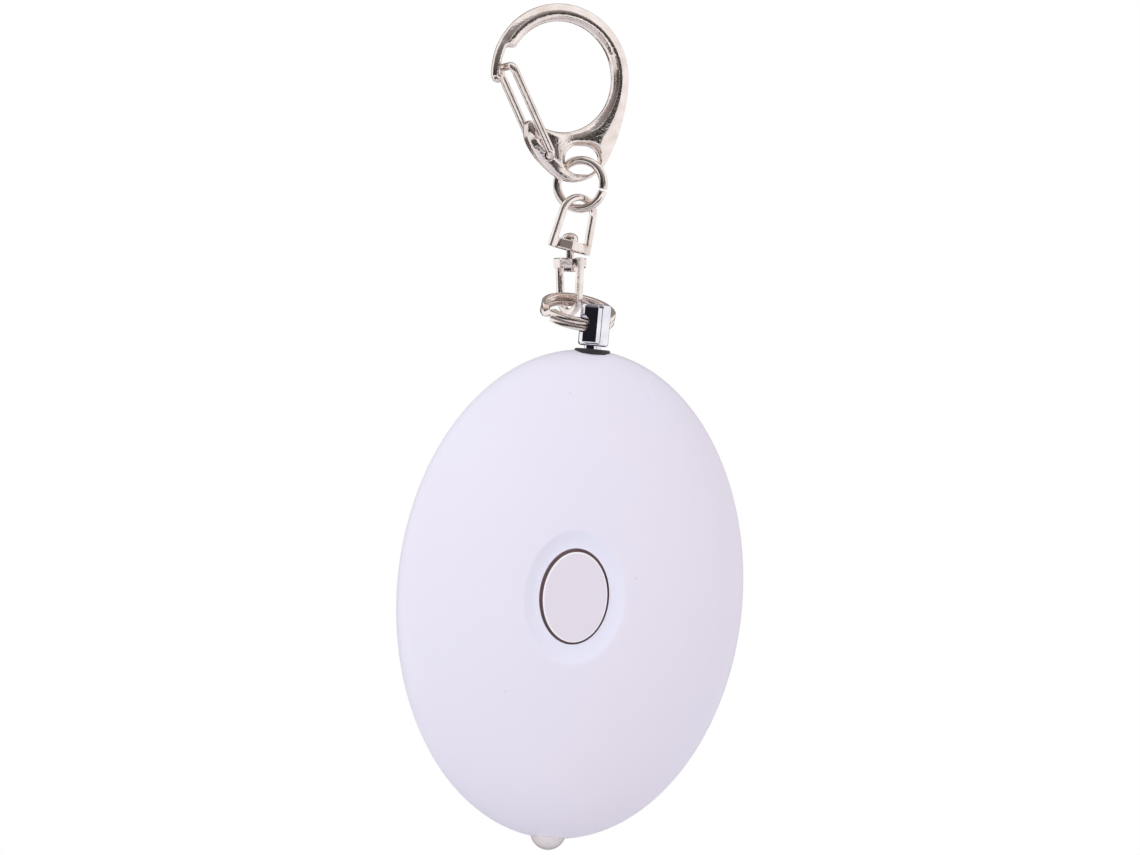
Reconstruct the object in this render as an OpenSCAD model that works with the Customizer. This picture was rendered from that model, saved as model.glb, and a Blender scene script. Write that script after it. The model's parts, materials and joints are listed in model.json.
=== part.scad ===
// Personal safety alarm: an egg-shaped siren with a panic button and a pull pin, hanging on a
// split ring, a swivel, a jump ring and a snap clasp. Millimetres, +Z up along the alarm,
// its front towards -Y, and the origin at the centre of the clasp's loop.

/* [Case] */
// Width of the case
case_w = 48; // [45:1:56]
// Height of the case
case_h = 68; // [65:1:78]
// Depth of the case, front to back
case_d = 24; // [23:1:30]
// Wall of both shells
wall = 1.8; // [1.4:0.1:2.2]
// Depth of the seam lip inside the front shell
lip_h = 1.4; // [1:0.1:2]
// Thickness of the seam lip
lip_t = 0.9; // [0.7:0.1:1.2]

/* [Button] */
// Width of the button's face
button_w = 8.8; // [7:0.1:10]
// Height of the button's face
button_h = 12.4; // [10:0.1:14]
// Gap between the button and its hole
button_gap = 0.33; // [0.2:0.01:0.5]
// How far the button stands above the dish round it
button_proud = 0.25; // [0.1:0.05:0.5]
// Travel of the button
button_travel = 0.5; // [0.3:0.05:0.7]
// Width of the dish round the button
dish_w = 13.2; // [12:0.1:16]
// Height of the dish round the button
dish_h = 18.4; // [17:0.1:22]
// Depth of the dish at its middle
dish_depth = 0.9; // [0.5:0.05:1.1]

/* [Pull pin] */
// Diameter of the pin's head
pin_d = 4.2; // [4:0.1:5]
// Length of the pin's head
pin_l = 5.8; // [5.4:0.1:7]
// Diameter of the pin's shank
shank_d = 2.4; // [2:0.1:2.8]
// Length of the shank below the head
shank_l = 11.6; // [11:0.1:12.4]
// Diameter of the cross hole for the split ring
pin_hole_d = 2.5; // [2.3:0.05:2.8]
// Height of the cross hole above the head's lower end
pin_hole_z = 3; // [2.6:0.1:3.4]
// Diameter of the black bush that the pin plugs into
bush_d = 5; // [4.8:0.1:6]
// Thickness of the bush's collar
bush_t = 0.7; // [0.5:0.1:1]
// Bare shank between the bush and the head
pin_stand = 0.45; // [0.2:0.05:1]

/* [Lamp] */
// Diameter of the lamp
lamp_d = 5; // [3:0.5:5]
// How far the lamp's dome stands out of the case
lamp_out = 1.6; // [0.5:0.1:2.2]
// Length of the lamp's straight body
lamp_l = 5.6; // [4:0.1:6]

/* [Clasp] */
// Inner diameter of the clasp's loop
loop_d = 15.6; // [14:0.1:18]
// Diameter of the clasp's round bar
bar_d = 2.5; // [2.2:0.1:3]
// Thickness of the clasp's base at the gate's pivot
base_t = 4; // [3.6:0.1:4.4]
// Width of the eye
eye_w = 5.2; // [4.6:0.1:6]
// Height of the eye
eye_h = 4; // [3.8:0.1:4.6]
// Thickness of the bar below the eye
eye_bar = 1.2; // [1:0.1:1.4]
// Diameter of the gate's wire
gate_wire = 1.1; // [0.8:0.1:1.3]
// Diameter of the ball at the nose
nose_d = 1.7; // [1.5:0.1:2.2]
// Thickness of the thin nose behind the ball
neck_d = 1.25; // [1:0.05:1.5]

/* [Links] */
// Outer diameter of the jump ring
jump_d = 8; // [7.6:0.1:9]
// Diameter of the jump ring's wire
jump_wire = 1.2; // [1:0.1:1.3]
// Height of one swivel half
swivel_h = 8.1; // [7.6:0.1:9]
// Width of a swivel half at its plate
swivel_w = 6.8; // [6.4:0.1:7.4]
// Width of a swivel half at its round end
swivel_top_w = 6; // [5.8:0.1:6.2]
// Width of the swivel's strip
strip_w = 0.95; // [0.7:0.05:1.1]
// Depth of the swivel's strip
strip_t = 1; // [0.8:0.1:1.2]
// Thickness of the swivel's plates
plate_t = 1.4; // [1.2:0.1:1.6]
// Diameter of the swivel's plates, across flats
plate_d = 4.4; // [4.2:0.1:5]
// Diameter of the rivet's shank
rivet_d = 1.1; // [0.9:0.1:1.2]
// Diameter of the rivet's head
rivet_head_d = 2.4; // [2.2:0.1:2.6]
// Outer diameter of the split ring
split_d = 10.5; // [10:0.1:12]
// Width of the split ring's flat wire, towards its centre
split_w = 1; // [0.8:0.05:1.1]
// Height of the split ring's flat wire
split_t = 0.65; // [0.5:0.05:0.7]
// Gap between the split ring's two coils
split_gap = 0.45; // [0.42:0.01:0.5]

/* [Electronics] */
// Width of the circuit board
board_w = 28; // [26:1:29]
// Height of the circuit board
board_h = 48; // [47:1:50]
// Thickness of the circuit board
board_t = 1.2; // [0.8:0.1:1.6]
// Height of the switch behind the button
switch_h = 2.5; // [2:0.1:3]
// Side of the switch behind the button
switch_w = 6; // [5:0.5:7]
// Depth of the case that walls, board and button take from the battery cells
cell_spare = 12.4; // [12.4:0.1:14]
// Thickness of a battery cell
cell_h = 5.4; // [3:0.1:5.6]
// Wall of the battery holder
holder_wall = 1; // [0.8:0.1:1.2]
// Diameter of the siren's disc
siren_d = 24; // [20:1:25]
// Diameter of a sound hole
sound_d = 1.6; // [1:0.1:1.8]
// Diameter of the case screws
screw_d = 2; // [1.6:0.1:2.2]

/* [Pose] */
// Turn of the clasp about the upright
clasp_yaw = 18; // [14:1:22]
// Lean of the clasp's top away from the front
clasp_pitch = 2; // [0:1:6]
// Lean of the clasp's top to the left
clasp_roll = 3; // [0:1:6]
// Turn of the jump ring about the upright
jump_yaw = -22; // [-27:1:-17]
// Turn of the upper swivel half about its axis
upper_yaw = 28; // [24:1:34]
// Lean of the upper swivel half's top to the right
upper_roll = 9; // [6:1:11]
// Turn of the lower swivel half about its axis
lower_yaw = -63; // [-68:1:-58]
// Lean of the lower swivel half's top to the left
lower_roll = 5; // [3:1:7]
// Slope of the split ring towards the front
split_pitch = 21; // [18:1:24]
// Slope of the split ring down to the right
split_roll = 5; // [4:1:6]

/* [Hidden] */
$fn = 64;
hull_fn = 24;
eps = 0.01;

// Clearances: a free link, a sliding fit, a running fit, a part laid in its seat
link_gap = 0.25;
slide_gap = 0.12;
run_gap = 0.08;
seat_gap = 0.1;

// Colours
shell_white = "#e9e6f1";
button_white = "#e4dee6";
nickel = "#b9aca5";
chrome = "#d5d6de";
black = "#2e2a2d";
clear = "#e8e4ea";
board_green = "#2f6b3c";
copper = "#b87333";
brass = "#c8a24a";
ceramic_white = "#efece2";
steel = "#a9abae";
ferrite = "#3c3c40";
can_blue = "#2c3f66";
wire_red = "#a8322d";

// Transforms as matrices, so that each link can hang on the one above it
function at(p) = [[1, 0, 0, p.x], [0, 1, 0, p.y], [0, 0, 1, p.z], [0, 0, 0, 1]];
function about_x(a) = [[1, 0, 0, 0], [0, cos(a), -sin(a), 0], [0, sin(a), cos(a), 0], [0, 0, 0, 1]];
function about_y(a) = [[cos(a), 0, sin(a), 0], [0, 1, 0, 0], [-sin(a), 0, cos(a), 0], [0, 0, 0, 1]];
function about_z(a) = [[cos(a), -sin(a), 0, 0], [sin(a), cos(a), 0, 0], [0, 0, 1, 0], [0, 0, 0, 1]];
function point_of(m, p) = let (q = m * [p.x, p.y, p.z, 1]) [q.x, q.y, q.z];
function turned(m, v) = let (q = m * [v.x, v.y, v.z, 0]) [q.x, q.y, q.z];
function on_circle(r, a) = [r * cos(a), 0, r * sin(a)];

// Angle at the centre between two points at radii r and s that lie the given distance apart
function angle_between(r, s, apart) = acos((r * r + s * s - apart * apart) / (2 * r * s));

// Clasp, in its own plane: x right, z up, y towards the back
loop_r = loop_d / 2;
bar_r = bar_d / 2;
bar_mid = loop_r + bar_r;
loop_out = loop_r + bar_d;
clasp_frame = about_y(-clasp_roll) * about_z(clasp_yaw) * about_x(-clasp_pitch);
nose_step_a = 152;
nose_a = 183.5;
arm_a = 250;
neck_mid = loop_out - neck_d / 2;
nose_inset = 0.1;
nose_mid = loop_out - nose_d / 2 - nose_inset;
eye_at = [3.5, 0, -loop_r - 3.7];
eye_bar_depth = 0.9;
eye_straight = 0.6;
eye_flare = 1.8;
eye_bar_at = eye_at - [0, 0, (eye_h + eye_bar) / 2];
heel_at = [7.4, 0, -loop_r - 1.2];
heel_r = 1.1;
toe_at = [-1.7, 0, -loop_r - 3.8];
toe_r = 1.25;
arm_r = 1.5;

// Gate: a wire that turns in the base and closes against the inside of the nose
pivot_at = [-1.95, 0, -loop_r - 3.4];
gate_r = gate_wire / 2;
gate_side = base_t / 2 + link_gap + gate_r;
gate_bend = 1;
pivot_bend = 0.7;
gate_ball_gap = 0.45;
gate_seat_r = neck_mid - neck_d / 2 - gate_r - link_gap;
gate_seat_a = nose_a - angle_between(gate_seat_r, nose_mid, nose_d / 2 + gate_r + gate_ball_gap);
gate_seat = on_circle(gate_seat_r, gate_seat_a);
gate_l = norm(gate_seat - pivot_at);
gate_lean = atan2(gate_seat.x - pivot_at.x, gate_seat.z - pivot_at.z);
gate_frame = clasp_frame * at(pivot_at) * about_y(gate_lean);
pivot_in = 0.5;

// Jump ring: hangs round the bar below the eye
jump_r = (jump_d - jump_wire) / 2;
jump_slack = 1.4;
jump_drop = jump_r - jump_wire / 2 - eye_bar / 2 - jump_slack;
jump_frame = at(point_of(clasp_frame, eye_bar_at) - [0, 0, jump_drop]) * about_z(jump_yaw);
jump_gap_a = -9;
jump_gap_w = 0.45;
jump_hang = -87;

// Swivel: two like halves on a loose rivet; a half's origin is the middle of its plate
arc_r = swivel_top_w / 2;
arc_z = swivel_h - plate_t / 2 - arc_r;
swivel_slack = 0.5;
upper_drop = swivel_h - plate_t / 2 - strip_w - swivel_slack - jump_wire / 2;
upper_frame = at(point_of(jump_frame, on_circle(jump_r, jump_hang)))
    * about_y(upper_roll) * about_z(upper_yaw) * at([0, 0, -upper_drop]);
rivet_tilt = upper_roll + lower_roll;
rivet_hole_d = rivet_d / cos(rivet_tilt) + plate_t * tan(rivet_tilt) + 2 * slide_gap;
rivet_up = plate_t / 2 / cos(rivet_tilt) + rivet_head_d / 2 * tan(rivet_tilt) + slide_gap;
lower_down = plate_t / 2 * cos(rivet_tilt) + swivel_w / 2 * sin(rivet_tilt) + link_gap;
lower_frame = at(point_of(upper_frame, [0, 0, 0])) * about_y(-lower_roll) * about_z(lower_yaw);
lower_half = lower_frame * at([0, 0, -lower_down - plate_t / 2]) * about_x(180);

// Split ring: its far side lies in the lower half's bail, its near side in the pin's cross hole
split_r = (split_d - split_w) / 2;
split_pitch_z = split_t + split_gap;
split_tall = split_pitch_z + split_t;
bail_slack = 0.1;
bail_lift = norm([split_tall, split_w]) / 2 + link_gap + bail_slack;
bail_a = 104.6;
pin_a = -58;
strand_at = point_of(lower_frame, [0, 0, -lower_down - swivel_h + strip_w + bail_lift]);
split_frame = at(strand_at) * about_y(split_roll) * about_x(split_pitch)
    * at([-split_r * cos(bail_a), -split_r * sin(bail_a), 0]);
split_start = -140;
split_turns = 1.875;
split_steps = 60;
jog_from = split_start + 360 * (split_turns - 1);
jog_to = split_start + 360;

// Alarm: hangs on the split ring by the pin; its origin is the middle of the case
half_w = case_w / 2;
half_d = case_d / 2;
half_h = case_h / 2;
bush_seat_z = half_h - 0.6;
head_z = bush_seat_z + bush_t + pin_stand;
pin_sag = 0.24;
pin_seat = point_of(split_frame, (split_r - pin_sag) * [cos(pin_a), sin(pin_a), 0]);
alarm_frame = at(pin_seat - [0, 0, head_z + pin_hole_z]);
pin_hole_dir = turned(split_frame, [-sin(pin_a), cos(pin_a), 0]);
pin_hole_turn = atan2(pin_hole_dir.y, pin_hole_dir.x);

// Depth of the case's outer and inner surface in front of a point (x, z)
function skin_depth(x, z) = half_d * sqrt(1 - pow(x / half_w, 2) - pow(z / half_h, 2));
function room_depth(x, z) =
    (half_d - wall) * sqrt(1 - pow(x / (half_w - wall), 2) - pow(z / (half_h - wall), 2));

// Button stack, from the front to the board
hole_w = button_w + 2 * button_gap;
hole_h = button_h + 2 * button_gap;
dish_rim = skin_depth(dish_w / 2, 0);
dish_lift = 0.6;
dish_deep = dish_lift + dish_depth;
dish_spread = 1 / sqrt(1 - pow(dish_lift / dish_deep, 2));
dish_floor = dish_rim + dish_lift - dish_deep * sqrt(1 - pow(hole_w / dish_w / dish_spread, 2));
button_face = dish_floor + button_proud;
button_rim = 0.25;
flange_lip = 0.9;
flange_t = 0.8;
flange_w = hole_w + 2 * flange_lip;
flange_h = hole_h + 2 * flange_lip;
flange_front = min(room_depth(flange_w / 2, 0), room_depth(0, flange_h / 2)) - seat_gap;
stem_l = 0.3;
stem_d = 3.6;
plunger_d = 3.2;
plunger_in = 0.8;
plunger_top = flange_front - flange_t - stem_l;
plunger_proud = button_travel + 0.15;
board_front = plunger_top - plunger_proud - switch_h;
board_back = board_front - board_t;

// Pin switch, under the bush
housing_top = half_h - wall - 4.3;
housing_l = 7.6;
housing_w = 6.8;
housing_back = 2.6;
sleeve_d = shank_d + 1.6;
leaf_t = 0.2;
leaf_w = 2;
leaf_x = shank_d / 2 + 0.35;
leaf_root_z = housing_top - 1.2;
leaf_end_z = housing_top - housing_l + 0.6;
leaf_bump_r = 0.3;
tip_z = head_z - shank_l;
leaf_bump_z = tip_z + 0.9;
leaf_swing = 0.55;
fixed_t = 0.6;
fixed_tip = leaf_x - leaf_swing;
terminal_t = 0.25;

// Lamp
lamp_r = lamp_d / 2;
lamp_z = -half_h - lamp_out + lamp_r;
lamp_top = lamp_z + lamp_l;
lamp_flange_d = lamp_d + 0.8;
lamp_flange_t = 1;
lead_t = 0.5;
lead_pitch = 2.54;
lead_z = -board_h / 2 + 1.4;

// Battery: three cells in a row on the back of the board
cell_count = 3;
cell_d = case_d - cell_spare;
cell_z = -0.27 * board_h;
cell_y = -board_back + 0.3 + cell_d / 2;
contact_room = 1.6;
contact_t = 0.4;
stack_l = cell_count * cell_h;
holder_in_w = stack_l + 2 * contact_room;
holder_in_h = cell_d + 2 * seat_gap;
holder_deep = 7.8;
contact_h = 7;

// Siren: a disc on a ring inside the rear shell
siren_r = siren_d / 2;
siren_z = 9;
siren_t = 0.3;
siren_rib = 1.2;
siren_y = min(room_depth(siren_r + siren_rib, siren_z), room_depth(0, siren_z + siren_r + siren_rib)) - 0.7;
ceramic_d = siren_d * 0.7;
ceramic_t = 0.25;
sound_rings = [[0, 1], [3.6, 6], [7.2, 12]];
siren_wire_d = 0.8;
siren_wire_at = [[3, 13], [siren_r - 1.6, 7]];

// Screws
screw_r = screw_d / 2;
case_screw_x = half_w - 6.5;
screw_head_d = screw_d * 1.75;
screw_head_t = 1.2;
case_screw_seat = 4;
case_screw_l = 8.4;
boss_d = screw_d + 2.8;
board_screw_at = [0.3 * board_w, board_h / 3];
board_screw_l = 3.2;
board_rest_at = [0.375 * board_w, -board_h / 6];
post_d = 3.6;

// Parts on the back of the board
coil_at = [7, 2.5];
coil_d = 6.8;
coil_h = 7;
coil_flange_t = 0.9;
coil_post_d = 2.6;
coil_wound_d = 5.8;
transistor_at = [-6.5, 3.5];
transistor_d = 4.8;
transistor_h = 4.6;
transistor_stand = 1.5;
capacitor_d = 5;
capacitor_h = 6.5;
capacitor_gap = 0.75;
capacitor_at = [-7, board_screw_at.y - (capacitor_d + screw_head_d) / 2 - capacitor_gap];
chip_at = [0, 0.29 * board_h];
chip_d = 8;
chip_h = 1.2;
resistor_at = [for (k = [-1:1]) [0.21 * board_w * k, -0.27 * board_h]];
resistor_size = [3.2, 0.6, 1.6];

// Shared shapes

module in_clasp() { multmatrix(clasp_frame) children(); }
module in_alarm() { multmatrix(alarm_frame) children(); }
module to_back() { rotate([-90, 0, 0]) children(); }
module to_front() { rotate([90, 0, 0]) children(); }

// Solid egg, drawn in from the case's skin
module egg(inset = 0) {
    scale([half_w - inset, half_d - inset, half_h - inset]) sphere(1);
}

// Upright oval plate between two depths, y counted towards the back
module oval(w, h, from, to) {
    translate([0, to, 0]) to_front() linear_extrude(to - from) scale([w / 2, h / 2]) circle(1);
}

// Hollow half of the case: side is -1 for the front and 1 for the back
module half_case(side) {
    difference() {
        intersection() {
            egg();
            translate([-case_w, side < 0 ? -case_d : 0, -case_h]) cube([2 * case_w, case_d, 2 * case_h]);
        }
        egg(wall);
    }
}

// Openings that both halves of the case share: the bush at the top and the lamp at the bottom
module case_openings() {
    translate([0, 0, housing_top]) cylinder(d = sleeve_d + 2 * seat_gap, h = case_h);
    translate([0, 0, bush_seat_z]) cylinder(d = bush_d + 2 * seat_gap, h = case_h);
    translate([0, 0, lamp_top + eps - case_h]) cylinder(d = lamp_d + 2 * seat_gap, h = case_h);
}

// Oval ring of the seam lip
module lip_ring(out, from, to) {
    w = case_w - 2 * wall;
    h = case_h - 2 * wall;
    difference() {
        oval(w + 2 * out, h + 2 * out, from, to);
        oval(w - 2 * (seat_gap + lip_t), h - 2 * (seat_gap + lip_t), from - 1, to + 1);
    }
}

// Screw with a domed head, its seat at z = 0 and its shank downwards
module screw(shank, slot_w = 0.5) {
    translate([0, 0, -shank]) cylinder(d = screw_d, h = shank + eps);
    difference() {
        cylinder(d = screw_head_d, h = screw_head_t);
        for (a = [0, 90]) {
            rotate([0, 0, a]) translate([-screw_head_d / 3, -slot_w / 2, screw_head_t - 0.6])
                cube([screw_head_d / 1.5, slot_w, 1]);
        }
    }
}

// Outline of a swivel half's bail, inset from its outer edge
module bail_outline(inset) {
    r = arc_r - inset;
    foot = [swivel_w / 2 - inset, -plate_t / 2 - arc_z];
    tangent = atan2(foot.y, foot.x) + acos(r / norm(foot));
    side = [r * cos(tangent), r * sin(tangent)];
    translate([0, arc_z]) {
        circle(r);
        polygon([foot, side, [-side.x, side.y], [-foot.x, foot.y]]);
    }
}

// Swivel half with its plate at the origin and its bail above
module swivel_half(bore_d) {
    difference() {
        union() {
            translate([0, strip_t / 2, 0]) to_front() linear_extrude(strip_t) difference() {
                bail_outline(0);
                bail_outline(strip_w);
            }
            rotate([0, 0, 22.5]) translate([0, 0, -plate_t / 2])
                cylinder(d = plate_d / cos(22.5), h = plate_t, $fn = 8);
            cube([swivel_w - strip_w, strip_t, plate_t], center = true);
        }
        translate([0, 0, -plate_t]) cylinder(d = bore_d, h = 2 * plate_t);
    }
}

// Clasp and links

// Flat body of the clasp round the eye and the gate's pivot, before the loop is cut out
module clasp_base() {
    hull() {
        translate(on_circle(bar_mid, -6)) sphere(bar_r, $fn = hull_fn);
        translate(heel_at) sphere(heel_r, $fn = hull_fn);
        translate(toe_at) sphere(toe_r, $fn = hull_fn);
        translate(on_circle(bar_mid, arm_a)) sphere(arm_r, $fn = hull_fn);
        translate(pivot_at - [0, base_t / 2, 0]) to_back() cylinder(r = gate_wire, h = base_t, $fn = hull_fn);
        for (s = [-1, 1]) {
            translate(eye_at + [s * (eye_w - eye_h) / 2, 0, 0]) to_back()
                rotate_extrude($fn = 2 * hull_fn) translate([(eye_h + eye_bar) / 2, 0])
                    scale([eye_bar / 2, eye_bar_depth]) circle(1, $fn = hull_fn / 2);
        }
    }
}

module clasp_hook() {
    color(nickel) in_clasp() difference() {
        union() {
            difference() {
                clasp_base();
                translate([0, -base_t, 0]) to_back() cylinder(r = bar_mid, h = 2 * base_t);
            }
            to_front() rotate([0, 0, arm_a]) rotate_extrude(angle = 360 - arm_a + nose_step_a)
                translate([bar_mid, 0]) circle(bar_r);
            to_front() rotate([0, 0, nose_step_a - 6]) rotate_extrude(angle = nose_a - nose_step_a + 6)
                translate([neck_mid, 0]) circle(d = neck_d);
            translate(on_circle(bar_mid, arm_a)) sphere(arm_r);
            translate(on_circle(nose_mid, nose_a)) sphere(d = nose_d);
        }
        translate(eye_at - [0, base_t, 0]) to_back() linear_extrude(2 * base_t) {
            square([eye_w - eye_h, eye_h], center = true);
            for (s = [-1, 1]) {
                translate([s * (eye_w - eye_h) / 2, 0]) circle(d = eye_h);
            }
        }
        for (s = [-1, 1], side = [-90, 90]) {
            translate(eye_at + [s * (eye_w - eye_h) / 2, 0, 0]) rotate([side, 0, 0])
                translate([0, 0, eye_straight / 2])
                    cylinder(r1 = eye_h / 2, r2 = eye_h / 2 + eye_flare, h = base_t / 2);
        }
        translate(pivot_at - [0, base_t, 0]) to_back() cylinder(r = gate_r + run_gap, h = 2 * base_t);
    }
}

// Quarter bend of the gate's wire in the plane of Y and Z, from the given angle on
module gate_elbow(bend, from) {
    rotate([90, 0, 90]) rotate([0, 0, from]) rotate_extrude(angle = 90) translate([bend, 0]) circle(gate_r);
}

module clasp_gate() {
    leg_l = gate_l - gate_bend - pivot_bend;
    color(nickel) multmatrix(gate_frame) for (s = [0, 1]) {
        mirror([0, s, 0]) {
            translate([0, gate_side, pivot_bend]) cylinder(r = gate_r, h = leg_l);
            translate([0, gate_side - gate_bend, gate_l - gate_bend]) gate_elbow(gate_bend, 0);
            translate([0, 0, gate_l]) to_back() cylinder(r = gate_r, h = gate_side - gate_bend);
            translate([0, gate_side - pivot_bend, pivot_bend]) gate_elbow(pivot_bend, -90);
            translate([0, pivot_in, 0]) to_back() cylinder(r = gate_r, h = gate_side - pivot_bend - pivot_in);
        }
    }
}

module jump_ring() {
    gap_angle = jump_gap_w / jump_r * 180 / PI;
    color(nickel) multmatrix(jump_frame) to_front() rotate([0, 0, jump_gap_a + gap_angle / 2])
        rotate_extrude(angle = 360 - gap_angle) translate([jump_r, 0]) circle(d = jump_wire);
}

module swivel_upper_bail() {
    color(nickel) multmatrix(upper_frame) swivel_half(rivet_hole_d);
}

module swivel_lower_bail() {
    color(nickel) multmatrix(lower_half) swivel_half(rivet_d + 2 * run_gap);
}

module swivel_rivet() {
    head_t = 0.8;
    foot_t = 0.5;
    foot_z = -lower_down - plate_t - foot_t;
    color(nickel) multmatrix(lower_frame) {
        translate([0, 0, foot_z]) cylinder(d = rivet_d, h = rivet_up + head_t / 2 - foot_z);
        translate([0, 0, foot_z]) cylinder(d = rivet_head_d, h = foot_t);
        translate([0, 0, rivet_up]) intersection() {
            cylinder(d = rivet_head_d, h = head_t);
            translate([0, 0, head_t - rivet_head_d * 0.62]) sphere(d = rivet_head_d * 1.24);
        }
    }
}

// Split ring: one flat wire, nearly two turns, that steps up a level where it lies single
split_angles = [for (i = [0:split_steps]) split_start + i * 360 * split_turns / split_steps];
function eased(t) = let (u = min(1, max(0, t))) u * u * (3 - 2 * u);
function split_level(a) = split_pitch_z * (eased((a - jog_from) / (jog_to - jog_from)) - 0.5);
function split_middle(a) = [split_r * cos(a), split_r * sin(a), split_level(a)];
split_section = [for (c = [[1, 0.4], [0.55, 1]]) [c.x * split_w / 2, c.y * split_t / 2]];
split_outline = concat(
    [split_section[0], split_section[1]],
    [for (k = [1, 0]) [-split_section[k].x, split_section[k].y]],
    [for (k = [0, 1]) [-split_section[k].x, -split_section[k].y]],
    [for (k = [1, 0]) [split_section[k].x, -split_section[k].y]]);
split_sides = len(split_outline);
split_points = [for (a = split_angles, p = split_outline)
    [(split_r + p.x) * cos(a), (split_r + p.x) * sin(a), split_level(a) + p.y]];
split_skin = [for (i = [0:split_steps - 1], k = [0:split_sides - 1], upper = [0, 1])
    let (
        here = i * split_sides + k,
        beside = i * split_sides + (k + 1) % split_sides
    )
    upper == 0
        ? [here, beside, here + split_sides]
        : [beside, beside + split_sides, here + split_sides]];
split_last = split_steps * split_sides;
split_ends = [for (k = [1:split_sides - 2], end = [0, 1])
    end == 0 ? [0, k + 1, k] : [split_last, split_last + k, split_last + k + 1]];
split_least_gap = min([for (a = split_angles, b = split_angles)
    if (b - a > 180) norm(split_middle(a) - split_middle(b))]) - split_t;
echo(split_ring_least_gap_to_itself = split_least_gap);

module split_ring() {
    color(nickel) multmatrix(split_frame)
        polyhedron(points = split_points, faces = concat(split_skin, split_ends), convexity = 6);
}

module pull_pin() {
    edge = 0.35;
    tip_l = 0.8;
    r = pin_d / 2;
    color(chrome) in_alarm() difference() {
        union() {
            translate([0, 0, head_z]) rotate_extrude() polygon([
                [0, 0], [r - edge, 0], [r, edge], [r, pin_l - edge], [r - edge, pin_l], [0, pin_l]]);
            translate([0, 0, tip_z + tip_l]) cylinder(d = shank_d, h = shank_l - tip_l + eps);
            translate([0, 0, tip_z]) cylinder(d1 = shank_d - tip_l, d2 = shank_d, h = tip_l);
        }
        translate([0, 0, head_z + pin_hole_z]) rotate([0, 0, pin_hole_turn]) rotate([0, 90, 0])
            cylinder(d = pin_hole_d, h = 2 * pin_d, center = true);
    }
}

// Case

module pin_bush() {
    color(black) in_alarm() difference() {
        union() {
            translate([0, 0, bush_seat_z]) cylinder(d = bush_d, h = bush_t);
            translate([0, 0, housing_top]) cylinder(d = sleeve_d, h = bush_seat_z - housing_top + eps);
        }
        cylinder(d = shank_d + 2 * slide_gap, h = case_h);
    }
}

module front_shell() {
    color(shell_white) in_alarm() difference() {
        union() {
            half_case(-1);
            intersection() {
                egg(wall / 2);
                union() {
                    for (s = [-1, 1]) {
                        translate([s * case_screw_x, 0, 0]) to_front() cylinder(d = boss_d, h = case_d);
                        for (p = [board_screw_at, board_rest_at]) {
                            translate([s * p.x, -board_front, p.y]) to_front() cylinder(d = post_d, h = case_d);
                        }
                    }
                }
            }
        }
        translate([0, -dish_rim - dish_lift, 0])
            scale([dish_w / 2 * dish_spread, dish_deep, dish_h / 2 * dish_spread]) sphere(1);
        oval(hole_w, hole_h, -case_d, 0);
        oval(case_w - 2 * wall, case_h - 2 * wall, -lip_h - seat_gap, eps);
        for (s = [-1, 1]) {
            translate([s * case_screw_x, 1, 0]) to_front()
                cylinder(d = screw_d + 2 * run_gap, h = case_screw_l - case_screw_seat + 1.5);
            translate([s * board_screw_at.x, -board_front + eps, board_screw_at.y]) to_front()
                cylinder(d = screw_d + 2 * run_gap, h = board_screw_l - board_t + 0.5);
        }
        case_openings();
    }
}

module rear_shell() {
    cell_back = cell_y + cell_d / 2 + seat_gap;
    color(shell_white) in_alarm() difference() {
        union() {
            half_case(1);
            lip_ring(-seat_gap, -lip_h, 0);
            intersection() {
                egg(wall / 2);
                lip_ring(wall / 4, 0, lip_h);
            }
            intersection() {
                egg(wall / 2);
                union() {
                    for (s = [-1, 1]) {
                        translate([s * case_screw_x, 0, 0]) to_back() cylinder(d = boss_d, h = case_d);
                        translate([s * cell_h, 0, cell_z]) translate([-0.8, cell_back, -2]) cube([1.6, case_d, 4]);
                    }
                    translate([0, siren_y, siren_z]) to_back() difference() {
                        translate([0, 0, -siren_t * 2]) cylinder(r = siren_r + siren_rib, h = case_d);
                        translate([0, 0, -case_d]) cylinder(r = siren_r + seat_gap, h = case_d);
                        translate([0, 0, -eps]) cylinder(r = siren_r - siren_rib, h = case_d + 1);
                    }
                }
            }
        }
        for (s = [-1, 1]) {
            translate([s * case_screw_x, -1, 0]) to_back() cylinder(d = screw_d + 2 * run_gap, h = case_d);
            translate([s * case_screw_x, case_screw_seat, 0]) to_back()
                cylinder(d = screw_head_d + 2 * seat_gap, h = case_d);
        }
        for (ring = sound_rings, k = [0:ring[1] - 1]) {
            translate(on_circle(ring[0], 360 * k / ring[1]) + [0, siren_y, siren_z]) to_back()
                cylinder(d = sound_d, h = case_d);
        }
        case_openings();
    }
}

module button_cap() {
    cap_l = button_face - flange_front + eps;
    color(button_white) in_alarm() {
        translate([0, eps - flange_front, 0]) scale([button_w / 2, 1, button_h / 2]) to_front() rotate_extrude()
            polygon([[0, 0], [1, 0], [1, cap_l - button_rim], [1 - 2 * button_rim / button_w, cap_l], [0, cap_l]]);
        oval(flange_w, flange_h, -flange_front, -flange_front + flange_t);
        translate([0, -plunger_top, 0]) to_front() cylinder(d = stem_d, h = stem_l + eps);
    }
}

module case_screws() {
    color(steel) in_alarm() for (s = [-1, 1]) {
        translate([s * case_screw_x, case_screw_seat, 0]) to_back() screw(case_screw_l);
    }
}

module led() {
    color(clear) in_alarm() {
        translate([0, 0, lamp_z]) sphere(d = lamp_d);
        translate([0, 0, lamp_z]) cylinder(d = lamp_d, h = lamp_l);
        translate([0, 0, lamp_top]) cylinder(d = lamp_flange_d, h = lamp_flange_t);
    }
}

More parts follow.
